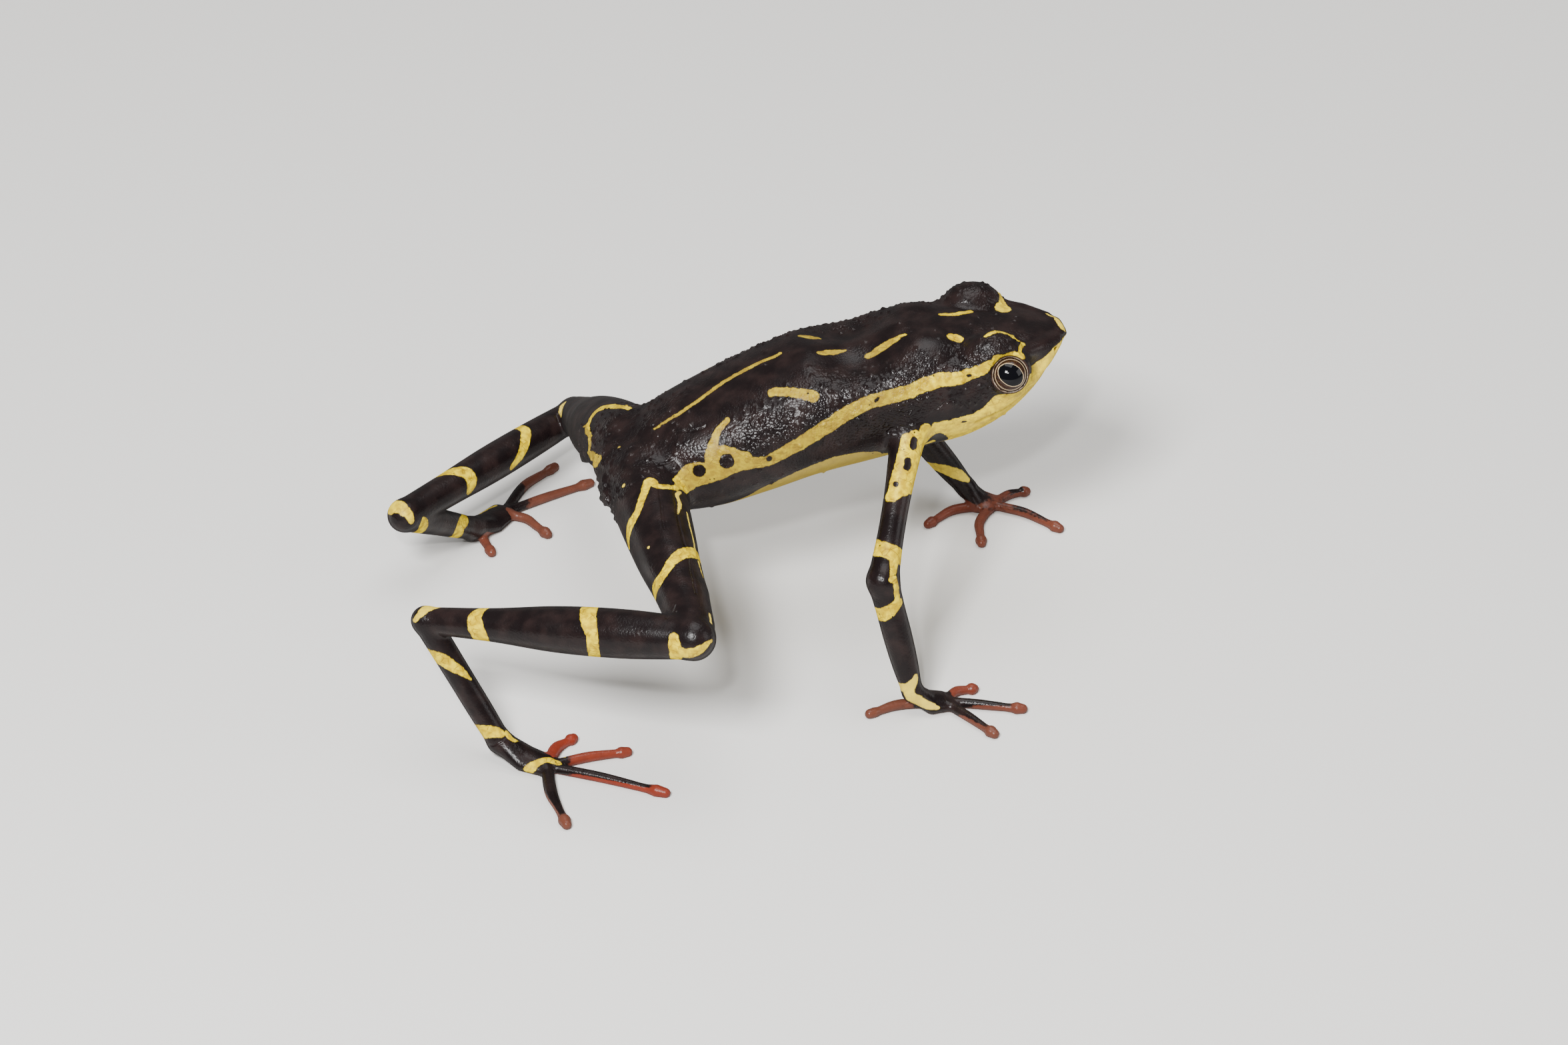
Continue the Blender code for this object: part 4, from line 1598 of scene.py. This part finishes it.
@dataclass(frozen=True)
class SkinFinish:
    """Wet granular skin, black with yellow markings and red digits.

    A scale is how many grains there are in a millimetre, and a span is where a soft rise starts
    and ends.
    """

    black: Colour = rgb(0.0056, 0.0036, 0.0038)
    brown: Colour = rgb(0.0145, 0.0085, 0.008)
    deep_yellow: Colour = rgb(0.40, 0.265, 0.0)
    bright_yellow: Colour = rgb(0.70, 0.52, 0.0)
    vein: Colour = rgb(0.16, 0.085, 0.0)
    cream: Colour = rgb(0.62, 0.47, 0.07)
    painted_shade_yellow: Colour = rgb(0.13, 0.085, 0.022)  # painted shade: a darker yellow that stands for the shade on the belly
    red: Colour = rgb(0.2, 0.024, 0.01)
    dull_red: Colour = rgb(0.12, 0.038, 0.022)
    digit_dark: Colour = rgb(0.022, 0.011, 0.011)
    lid: Colour = rgb(0.028, 0.013, 0.009)
    lid_line: Colour = rgb(0.34, 0.27, 0.19)
    edge_scale: float = 4.5
    edge_wander: float = 0.16  # how far noise shifts the yellow's edge
    edge_span: Span = (-0.035, 0.035)
    mottle: Patches = Patches(2.6, 4.0, (0.35, 0.68))
    vein_stretch: Point = (0.8, 1.0, 1.3)
    vein_scale: float = 2.3
    vein_span: Span = (0.0, 0.09)
    veined: Patches = Patches(1.7, 1.0, (0.42, 0.6))
    vein_share: float = 0.7
    # how far the painted shade darkens the trunk's yellow
    painted_shade_share: float = 0.6
    speck_scale: float = 1.9
    speck_span: Span = (0.07, 0.13)
    specked: Patches = Patches(0.6, 0.0, (0.5, 0.56))
    clouds: Patches = Patches(0.9, 5.0, (0.35, 0.75))
    blotch_scale: float = 1.8
    blotch_share: float = 0.5
    red_wander: float = 0.5
    red_span: Span = (0.35, 0.6)
    lid_span: Span = (1.12, 1.18)  # millimetres from the eye's axis
    line_inner: Span = (1.01, 1.03)
    line_outer: Span = (1.055, 1.08)
    line_share: float = 0.8
    granule_scale: float = 6.5
    granule_curve: float = 1.6
    granule_depth: float = 0.034
    granule_least: float = 0.25  # how high granules stand between the patches
    granular: Patches = Patches(0.55, 3.0, (0.38, 0.62))
    pore_scale: float = 14.0
    pore_depth: float = 0.01
    fold_span: Span = (0.0, 0.14)
    fold_depth: float = 0.05
    wet: Patches = Patches(0.7, 2.0, (0.3, 0.7))
    edge_on_span: Span = (0.42, 0.8)
    gloss: float = 0.2  # the wettest skin's roughness, and what is added to it
    drier: float = 0.12
    yellow_drier: float = 0.14
    edge_on_drier: float = 0.6
    shine: float = 0.17

    def material(self) -> bpy.types.Material:
        """Build the skin's material.

        Returns:
            The material.
        """
        shader = Shader("toad_skin")
        place = shader.place()
        wander = shader.noise(place, self.edge_scale, detail=3.0) - 0.5
        edge = shader.value("yellow") + wander * self.edge_wander
        yellow = edge.fall(*self.edge_span)
        dark_colour = self._dark(shader, place, wander)
        colour = shader.blend(yellow, dark_colour, self._yellow(shader, place))
        facing = shader.node("ShaderNodeLayerWeight", {}, {"Blend": 0.5}, "Facing")
        edge_on = facing.rise(*self.edge_on_span)
        roughness = self.gloss + self.wet.share(shader, place) * self.drier
        roughness = roughness + yellow * self.yellow_drier + edge_on * self.edge_on_drier
        return shader.finish(
            Base_Color=self._lid(shader, colour),
            Roughness=roughness,
            Normal=self._relief(shader, place),
            Specular_IOR_Level=self.shine,
        )

    def _yellow(self, shader: Shader, place: Signal) -> Signal:
        """Mix the markings' colour: mottled yellow with veins, cream, painted belly shade and
        specks.

        Args:
            shader: The skin's nodes.
            place: The point on the skin.

        Returns:
            The colour.
        """
        mottle = self.mottle.share(shader, place)
        colour = shader.blend(mottle, self.deep_yellow, self.bright_yellow)
        stretched = shader.place(self.vein_stretch)
        vein = shader.cells(stretched, self.vein_scale, "DISTANCE_TO_EDGE").fall(*self.vein_span)
        vein = vein * self.veined.share(shader, place) * self.vein_share
        colour = shader.blend(vein, colour, self.vein)
        colour = shader.blend(shader.value("pale"), colour, self.cream)
        # painted shade: the trunk's yellow is blended towards a darker yellow from x 20 mm back,
        # for the belly's shade
        colour = shader.blend(shader.value("belly_painted_shade") * self.painted_shade_share, colour, self.painted_shade_yellow)
        speck = shader.cells(place, self.speck_scale).fall(*self.speck_span)
        return shader.blend(speck * self.specked.share(shader, place), colour, self.black)

    def _dark(self, shader: Shader, place: Signal, wander: Signal) -> Signal:
        """Mix the colour between the markings: clouded black, and red on the digits.

        Args:
            shader: The skin's nodes.
            place: The point on the skin.
            wander: The noise that shifts edges.

        Returns:
            The colour.
        """
        dark = shader.blend(self.clouds.share(shader, place), self.black, self.brown)
        red = shader.blend(shader.value("dull"), self.red, self.dull_red)
        blotch = shader.noise(place, self.blotch_scale, detail=3.0) * self.blotch_share
        red = shader.blend(blotch, red, self.digit_dark)
        share = shader.value("red") + wander * self.red_wander
        return shader.blend(share.rise(*self.red_span), dark, red)

    def _lid(self, shader: Shader, colour: Signal) -> Signal:
        """Darken the lids' margins and draw the pale line on them.

        Args:
            shader: The skin's nodes.
            colour: The skin's colour.

        Returns:
            The colour with the margins.
        """
        margin = shader.value("margin")
        colour = shader.blend(margin.fall(*self.lid_span), colour, self.lid)
        line = margin.rise(*self.line_inner) * margin.fall(*self.line_outer)
        return shader.blend(line * self.line_share, colour, self.lid_line)

    def _relief(self, shader: Shader, place: Signal) -> Signal:
        """Bend the normal over granules, pores and folds.

        Args:
            shader: The skin's nodes.
            place: The point on the skin.

        Returns:
            The normal.
        """
        granule = shader.cells(place, self.granule_scale)
        patches = self.granular.share(shader, place) * (1.0 - self.granule_least)
        dome = (1.0 - granule * granule * self.granule_curve) * shader.value("grain")
        dome = dome * (patches + self.granule_least)
        normal = shader.bump(dome, self.granule_depth)
        pores = shader.noise(place, self.pore_scale, detail=2.0)
        normal = shader.bump(pores, self.pore_depth, normal)
        fold = shader.value("crease").rise(*self.fold_span)
        return shader.bump(fold, self.fold_depth, normal)


@dataclass(frozen=True)
class EyeFinish:
    """A dark eye with a black pupil in a thin pale-gold ring."""

    pupil: Colour = rgb(0.002, 0.002, 0.003)
    gold: Colour = rgb(0.50, 0.38, 0.22)
    iris: Colour = rgb(0.018, 0.008, 0.005)
    outer: Colour = rgb(0.10, 0.045, 0.02)
    edge_scale: float = 5.0
    edge_wander: float = 0.05
    edge_span: Span = (0.0, 0.015)
    ring_span: Span = (0.03, 0.055)
    ring_share: float = 0.9
    flecks: Patches = Patches(12.0, 3.0, (0.45, 0.7))
    fleck_share: float = 0.35
    rim_inner: Span = (0.885, 0.9)  # millimetres from the eye's axis
    rim_outer: Span = (0.92, 0.935)
    rim_share: float = 0.7
    gloss: float = 0.06
    shine: float = 0.2

    def material(self) -> bpy.types.Material:
        """Build the eye's material.

        Returns:
            The material.
        """
        shader = Shader("toad_eye")
        place = shader.place()
        wander = shader.noise(place, self.edge_scale, detail=2.0) - 0.5
        edge = shader.value("pupil") + wander * self.edge_wander
        flecks = self.flecks.share(shader, place) * self.fleck_share
        iris = shader.blend(flecks, self.iris, self.outer)
        outside = edge.rise(*self.edge_span)
        ring = outside * edge.fall(*self.ring_span)
        colour = shader.blend(outside, self.pupil, iris)
        colour = shader.blend(ring * self.ring_share, colour, self.gold)
        around = shader.value("around")
        rim = around.rise(*self.rim_inner) * around.fall(*self.rim_outer)
        return shader.finish(
            Base_Color=shader.blend(rim * self.rim_share, colour, self.gold),
            Roughness=self.gloss,
            Specular_IOR_Level=self.shine,
        )


@dataclass(frozen=True)
class PaperFinish:
    """The plain pale floor."""

    colour: Colour = rgb(0.62, 0.61, 0.59)
    roughness: float = 0.85
    shine: float = 0.2

    def material(self) -> bpy.types.Material:
        """Build the floor's material.

        Returns:
            The material.
        """
        return Shader("pale_paper").finish(
            Base_Color=self.colour, Roughness=self.roughness, Specular_IOR_Level=self.shine
        )


def move_to_model(points: Values, shift: Values) -> Values:
    """Return points of the vent's frame in metres in the model's frame."""
    return (points - shift) * METRES


def dressed(name: str, mesh: bpy.types.Mesh, material: bpy.types.Material) -> bpy.types.Object:
    """Dress a mesh, shade it smooth and link it to the scene.

    Args:
        name: The object's name.
        mesh: Its mesh.
        material: Its material.

    Returns:
        The object.
    """
    mesh.materials.append(material)
    mesh.shade_smooth()
    thing = bpy.data.objects.new(name, mesh)
    bpy.context.scene.collection.objects.link(thing)
    return thing


def mesh_object(
    name: str, points: Values, faces: Values, material: bpy.types.Material
) -> bpy.types.Object:
    """Make a smooth mesh object.

    Args:
        name: The object's name.
        points: Its points in metres.
        faces: The points of each face, all with the same count.
        material: Its material.

    Returns:
        The object, linked to the scene.
    """
    mesh = bpy.data.meshes.new(name)
    corners = faces.shape[1]
    mesh.vertices.add(len(points))
    mesh.vertices.foreach_set("co", points.astype(np.float32).ravel())
    mesh.loops.add(faces.size)
    mesh.loops.foreach_set("vertex_index", faces.astype(np.int32).ravel())
    mesh.polygons.add(len(faces))
    mesh.polygons.foreach_set("loop_start", np.arange(0, faces.size, corners, dtype=np.int32))
    mesh.update(calc_edges=True)
    mesh.validate()
    return dressed(name, mesh, material)


def store(thing: bpy.types.Object, name: str, values: Values) -> None:
    """Store one value for each point of an object's mesh."""
    layer = thing.data.attributes.new(name, "FLOAT", "POINT")
    layer.data.foreach_set("value", values.astype(np.float32))


@dataclass(frozen=True)
class Granules:
    """Small round warts scattered over the skin."""

    spacing: float = 0.4
    radius: float = 0.07
    spread: float = 0.025
    smallest: float = 0.04
    bare: float = 0.2  # how granular the skin is where there are none
    soft: float = 0.1
    seed: int = 7

    def scatter(self, clay: Clay, points: Values, grain: Values) -> None:
        """Add warts to the clay, more of them where the skin is more granular.

        Args:
            clay: The clay, which already holds the body.
            points: Points of its skin in millimetres.
            grain: How granular the skin is at each point, from 0 to 1.
        """
        dice = np.random.default_rng(self.seed)
        order = dice.permutation(len(points))
        cells = np.floor(points[order] / self.spacing).astype(int)
        _, first = np.unique(cells, axis=0, return_index=True)
        for index in order[first]:
            radius = self.radius + self.spread * dice.standard_normal()
            if dice.random() < grain[index] - self.bare and radius > self.smallest:
                clay.join(Ball(tuple(points[index]), (radius,) * 3), self.soft)


@dataclass(frozen=True)
class Grain:
    """How granular the skin is. Each span is where it sets in along a direction."""

    trunk: float = 0.22
    limb: float = 0.2
    flank_top: Span = (28.0, 50.0)  # degrees from the top
    flank_foot: Span = (105.0, 70.0)
    flank_back: Span = (6.0, 9.5)
    flank_front: Span = (26.0, 23.5)
    lid: float = 0.25
    lid_back: Span = (22.0, 23.0)
    lid_front: Span = (25.8, 24.8)
    lid_level: Span = (17.6, 18.4)
    rump: float = 0.5
    rump_front: Span = (7.0, 3.0)
    trunk_width: float = 5.0
    trunk_level: float = 9.0

    def values(self, points: Values, trunk: Trunk) -> Values:
        """Work out how granular the skin is.

        Args:
            points: The skin's points.
            trunk: The trunk.

        Returns:
            The grain at each point, from 0 to 1.
        """
        x, y, z = points.T
        turn = trunk.turn_of(points)
        band = smooth_step(*self.flank_top, turn) * smooth_step(*self.flank_foot, turn)
        along = smooth_step(*self.flank_back, x) * smooth_step(*self.flank_front, x)
        lids = self.lid * smooth_step(*self.lid_back, x) * smooth_step(*self.lid_front, x)
        lids = lids * smooth_step(*self.lid_level, z)
        rump = smooth_step(*self.rump_front, x) * self.rump
        whole = np.clip(self.trunk + band * along + lids + rump, 0.0, 1.0)
        return np.where((np.abs(y) < self.trunk_width) & (z > self.trunk_level), whole, self.limb)


@dataclass(frozen=True)
class Redness:
    """Where the digits, palms and soles turn red."""

    reach: float = 8.0  # how far from a palm's middle its colour lies
    top: float = 1.2  # the level above which nothing is red
    digit_reach: float = 0.25  # how far off a digit its own colour lies
    dark_levels: Span = (0.3, 0.52)  # where a digit's dark top sets in
    fade: float = 0.6  # the share of a digit's length over which its red sets in
    tip: Span = (0.6, 0.9)  # the shares of a digit's length where its tip sets in
    tip_bare: float = 0.75  # how much less dark the tip is than the rest
    palm_reach: Span = (2.6, 1.2)
    palm_levels: Span = (1.1, 0.7)
    under_levels: Span = (0.25, 0.08)

    def values(self, points: Values, sides: Sequence[Limbs]) -> tuple[Values, Values]:
        """Work out how red the skin is.

        Args:
            points: The skin's points.
            sides: The limbs of both sides.

        Returns:
            How red and how dull each point is, from 0 to 1.
        """
        red = np.zeros(len(points))
        dull = np.zeros(len(points))
        for limbs in sides:
            for _, palm, digits, palm_red in limbs.ends():
                off = np.hypot(points[:, 0] - palm[0], points[:, 1] - palm[1])
                chosen = np.flatnonzero((off < self.reach) & (points[:, 2] < self.top))
                spot = points[chosen]
                level = spot[:, 2]
                dark = smooth_step(*self.dark_levels, level)
                best = np.full(len(chosen), FAR)
                for digit in digits:
                    gap = digit.form(palm).distance(spot.T)
                    nearer = (gap < best) & (gap < self.digit_reach)
                    along = np.subtract(digit.tip, digit.knuckle)
                    run = (spot[:, :2] - np.array(digit.knuckle)) @ along / (along @ along)
                    fade = smooth_step(digit.start - self.fade, digit.start, run)
                    tip = smooth_step(*self.tip, run)
                    shade = digit.dark * dark * (1.0 - self.tip_bare * tip)
                    red[chosen] = np.where(nearer, fade * (1.0 - shade), red[chosen])
                    dull[chosen] = np.where(nearer, digit.dull, dull[chosen])
                    best = np.where(nearer, gap, best)
                share = palm_red * smooth_step(*self.palm_reach, off[chosen])
                share = share * smooth_step(*self.palm_levels, level)
                under = smooth_step(*self.under_levels, level)
                dull[chosen] = np.where(best == FAR, 1.0, dull[chosen])
                red[chosen] = np.maximum(red[chosen], np.maximum(share, under))
        return red, dull


@dataclass(frozen=True)
class Skin:
    """The whole skin in one closed piece."""

    trunk: Trunk
    head: Head
    sides: tuple[Limbs, ...]
    markings: Markings
    shift: Values
    granules: Granules = Granules()
    grain: Grain = Grain()
    redness: Redness = Redness()
    trunk_soft: float = 0.05
    step: float = 0.08
    quick_step: float = 0.16
    margin: float = 0.8
    belly_painted_shade: Span = (20.0, 17.0)  # where the painted shade on the trunk's yellow sets in, towards the rear
    painted_shade_reach: float = 0.3

    def clay(self) -> Clay:
        """Model the toad's body in clay.

        Returns:
            The clay.
        """
        boxes = [form.box() for form in self.markings.surfaces().values()]
        low = np.min([box[0] for box in boxes], axis=0)
        high = np.max([box[1] for box in boxes], axis=0)
        low[2] = 0.0
        step = self.step
        clay = Clay(low - self.margin, high + self.margin, step)
        clay.join(self.trunk, self.trunk_soft)
        self.head.model(clay)
        for limbs in self.sides:
            limbs.model(clay)
        clay.level(0.0)
        points, _ = clay.skin()
        self.granules.scatter(clay, points, self.grain.values(points, self.trunk))
        return clay

    def build(self) -> bpy.types.Object:
        """Model the skin, store its markings and dress it.

        Returns:
            The skin.
        """
        points, quads = self.clay().skin()
        forms = self.markings.surfaces()
        near = {name: form.distance(points.T) for name, form in forms.items()}
        values = self.markings.distances(points, near)
        values["red"], values["dull"] = self.redness.values(points, self.sides)
        values["margin"] = self.head.margin_values(points)
        values["grain"] = self.grain.values(points, self.trunk)
        # painted shade: marks the trunk's skin from x 20 mm back, where its yellow is darkened for
        # the belly's shade
        on_trunk = near["trunk"] < self.painted_shade_reach
        values["belly_painted_shade"] = smooth_step(*self.belly_painted_shade, points[:, 0]) * on_trunk
        places = move_to_model(points, self.shift)
        skin = mesh_object("skin", places, quads, SkinFinish().material())
        for name, layer in values.items():
            store(skin, name, layer)
        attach(skin, "root")
        names = ["head", "torso"]
        for limbs in self.sides:
            names += limbs.nodes()
        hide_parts(*names)
        return skin


@dataclass(frozen=True)
class Eye:
    """One eyeball with its pupil."""

    head: Head
    side: Side
    shift: Values
    pupil_long: float = 0.78
    pupil_short: float = 0.6
    tilt: float = 38.0  # degrees that the pupil's front end is raised
    detail: int = 96
    hidden: float = 1.0  # the distance from the pupil's edge at the back of the eye
    hidden_around: float = 2.0

    def _pupil(self, offsets: Values, gaze: Vector) -> Values:
        """Measure points of the eye from the pupil's edge.

        Args:
            offsets: The points, from the eye's middle.
            gaze: The way that the eye looks.

        Returns:
            The distances, negative inside the pupil.
        """
        forward = Vector((1.0, 0.0, 0.0))
        forward = (forward - gaze * forward.dot(gaze)).normalized()
        up = forward.cross(gaze) if self.side is Side.RIGHT else gaze.cross(forward)
        angle = math.radians(self.tilt)
        long_way = np.array(forward * math.cos(angle) + up * math.sin(angle))
        short_way = np.array(up * math.cos(angle) - forward * math.sin(angle))
        run = offsets @ long_way / self.pupil_long
        rise = offsets @ short_way / self.pupil_short
        gap = (np.hypot(run, rise) - 1.0) * 0.5 * (self.pupil_long + self.pupil_short)
        return np.where(offsets @ np.array(gaze) > 0.0, gap, self.hidden)

    def build(self) -> bpy.types.Object:
        """Make the eyeball, store its distances from the pupil and axis, and dress it.

        Returns:
            The eyeball.
        """
        shape = bmesh.new()
        bmesh.ops.create_uvsphere(
            shape, u_segments=self.detail, v_segments=self.detail // 2, radius=self.head.eye_radius
        )
        gaze = Vector(self.side.mirrored(self.head.gaze)).normalized()
        turn = gaze.to_track_quat("Z", "Y").to_matrix().to_4x4()
        bmesh.ops.transform(shape, matrix=turn, verts=shape.verts)
        offsets = np.array([vert.co for vert in shape.verts])
        centre = np.array(self.side.mirrored(self.head.eye_place))
        for vert, offset in zip(shape.verts, offsets):
            vert.co = Vector(move_to_model(centre + offset, self.shift))
        word = self.side.name.lower()
        mesh = bpy.data.meshes.new(f"eyeball_{word}")
        shape.to_mesh(mesh)
        shape.free()
        ball = dressed(f"eyeball_{word}", mesh, EyeFinish().material())
        store(ball, "pupil", self._pupil(offsets, gaze))
        around = np.linalg.norm(np.cross(offsets, np.array(gaze)), axis=1)
        in_front = offsets @ np.array(gaze) > 0.0
        store(ball, "around", np.where(in_front, around, self.hidden_around))
        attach(ball, "root")
        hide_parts(f"eye_{word}")
        return ball


@dataclass(frozen=True)
class Lamp:
    """A soft square lamp that faces the toad."""

    name: str
    place: Point
    size: float  # its side in millimetres
    power: float  # in watts

    def build(self) -> bpy.types.Object:
        """Hang the lamp.

        Returns:
            The lamp.
        """
        data = bpy.data.lights.new(self.name, "AREA")
        data.shape = "SQUARE"
        data.size = self.size * METRES
        data.energy = self.power
        lamp = bpy.data.objects.new(self.name, data)
        middle = Vector(self.place) * METRES
        lamp.location = middle
        lamp.rotation_euler = (-middle).to_track_quat("-Z", "Y").to_euler()
        bpy.context.scene.collection.objects.link(lamp)
        return lamp


@dataclass(frozen=True)
class Studio:
    """The pale floor, soft lights and the camera."""

    camera_place: Point = (-49.62, -263.915, 191.99)
    forward: Point = (0.15988, 0.80968, -0.56468)
    right: Point = (0.98149, -0.1915, 0.00331)
    up: Point = (0.10545, 0.55476, 0.8253)
    lens: float = 124.9
    sensor: float = 36.0
    shift: Span = (-0.0017, -0.0102)
    clip: Span = (0.01, 20.0)  # metres
    floor_size: float = 3.0
    lamps: tuple[Lamp, ...] = (
        Lamp("key", (-120.0, -190.0, 250.0), 70.0, 2.1),
        Lamp("spark", (-70.0, -240.0, 230.0), 14.0, 0.6),
        Lamp("over", (40.0, 60.0, 420.0), 300.0, 1.5),
        Lamp("front", (330.0, -160.0, 160.0), 200.0, 0.4),
    )
    sky_colour: Colour = rgb(1.0, 0.98, 0.95)
    sky_strength: float = 0.22

    def camera(self) -> bpy.types.Object:
        """Place the camera where the photographer's was.

        Returns:
            The camera.
        """
        data = bpy.data.cameras.new("camera")
        data.lens = self.lens
        data.sensor_width = self.sensor
        data.shift_x, data.shift_y = self.shift
        data.clip_start, data.clip_end = self.clip
        camera = bpy.data.objects.new("camera", data)
        turn = Matrix((self.right, self.up, tuple(-value for value in self.forward))).transposed()
        place = Vector(self.camera_place) * METRES
        camera.matrix_world = Matrix.Translation(place) @ turn.to_4x4()
        bpy.context.scene.collection.objects.link(camera)
        bpy.context.scene.camera = camera
        return camera

    def floor(self) -> bpy.types.Object:
        """Lay the pale floor.

        Returns:
            The floor.
        """
        half = self.floor_size / 2.0
        corners = np.array(
            ((-half, -half, 0.0), (half, -half, 0.0), (half, half, 0.0), (-half, half, 0.0))
        )
        floor = mesh_object("floor", corners, np.array(((0, 1, 2, 3),)), PaperFinish().material())
        return floor

    def sky(self) -> None:
        """Light the room softly from all round."""
        world = bpy.data.worlds.new("room")
        world.use_nodes = True
        ground = world.node_tree.nodes["Background"]
        ground.inputs["Color"].default_value = self.sky_colour
        ground.inputs["Strength"].default_value = self.sky_strength
        bpy.context.scene.world = world

    def build(self) -> None:
        """Set up the whole studio."""
        self.camera()
        self.floor()
        for lamp in self.lamps:
            lamp.build()
        self.sky()


def main() -> None:
    """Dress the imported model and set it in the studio."""
    logging.basicConfig(level=logging.INFO, format="%(message)s")
    trunk = Trunk()
    head = Head(trunk)
    low, high = (np.array(corner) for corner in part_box("eye_left"))
    shift = np.array(head.eye_place) - (low + high) / 2.0 / METRES
    strokes = STROKES + FOLDS + BOTH_SIDES + other_side(BOTH_SIDES)
    markings = Markings(trunk, (LEFT, RIGHT), strokes)
    skin = Skin(trunk, head, (LEFT, RIGHT), markings, shift).build()
    LOG.info("skin: %d faces", len(skin.data.polygons))
    for side in Side:
        ball = Eye(head, side, shift).build()
        LOG.info("%s: %d faces", ball.name, len(ball.data.polygons))
    Studio().build()
    LOG.info("studio: floor, camera and %d lamps", len(Studio.lamps))


if __name__ == "__main__":
    main()
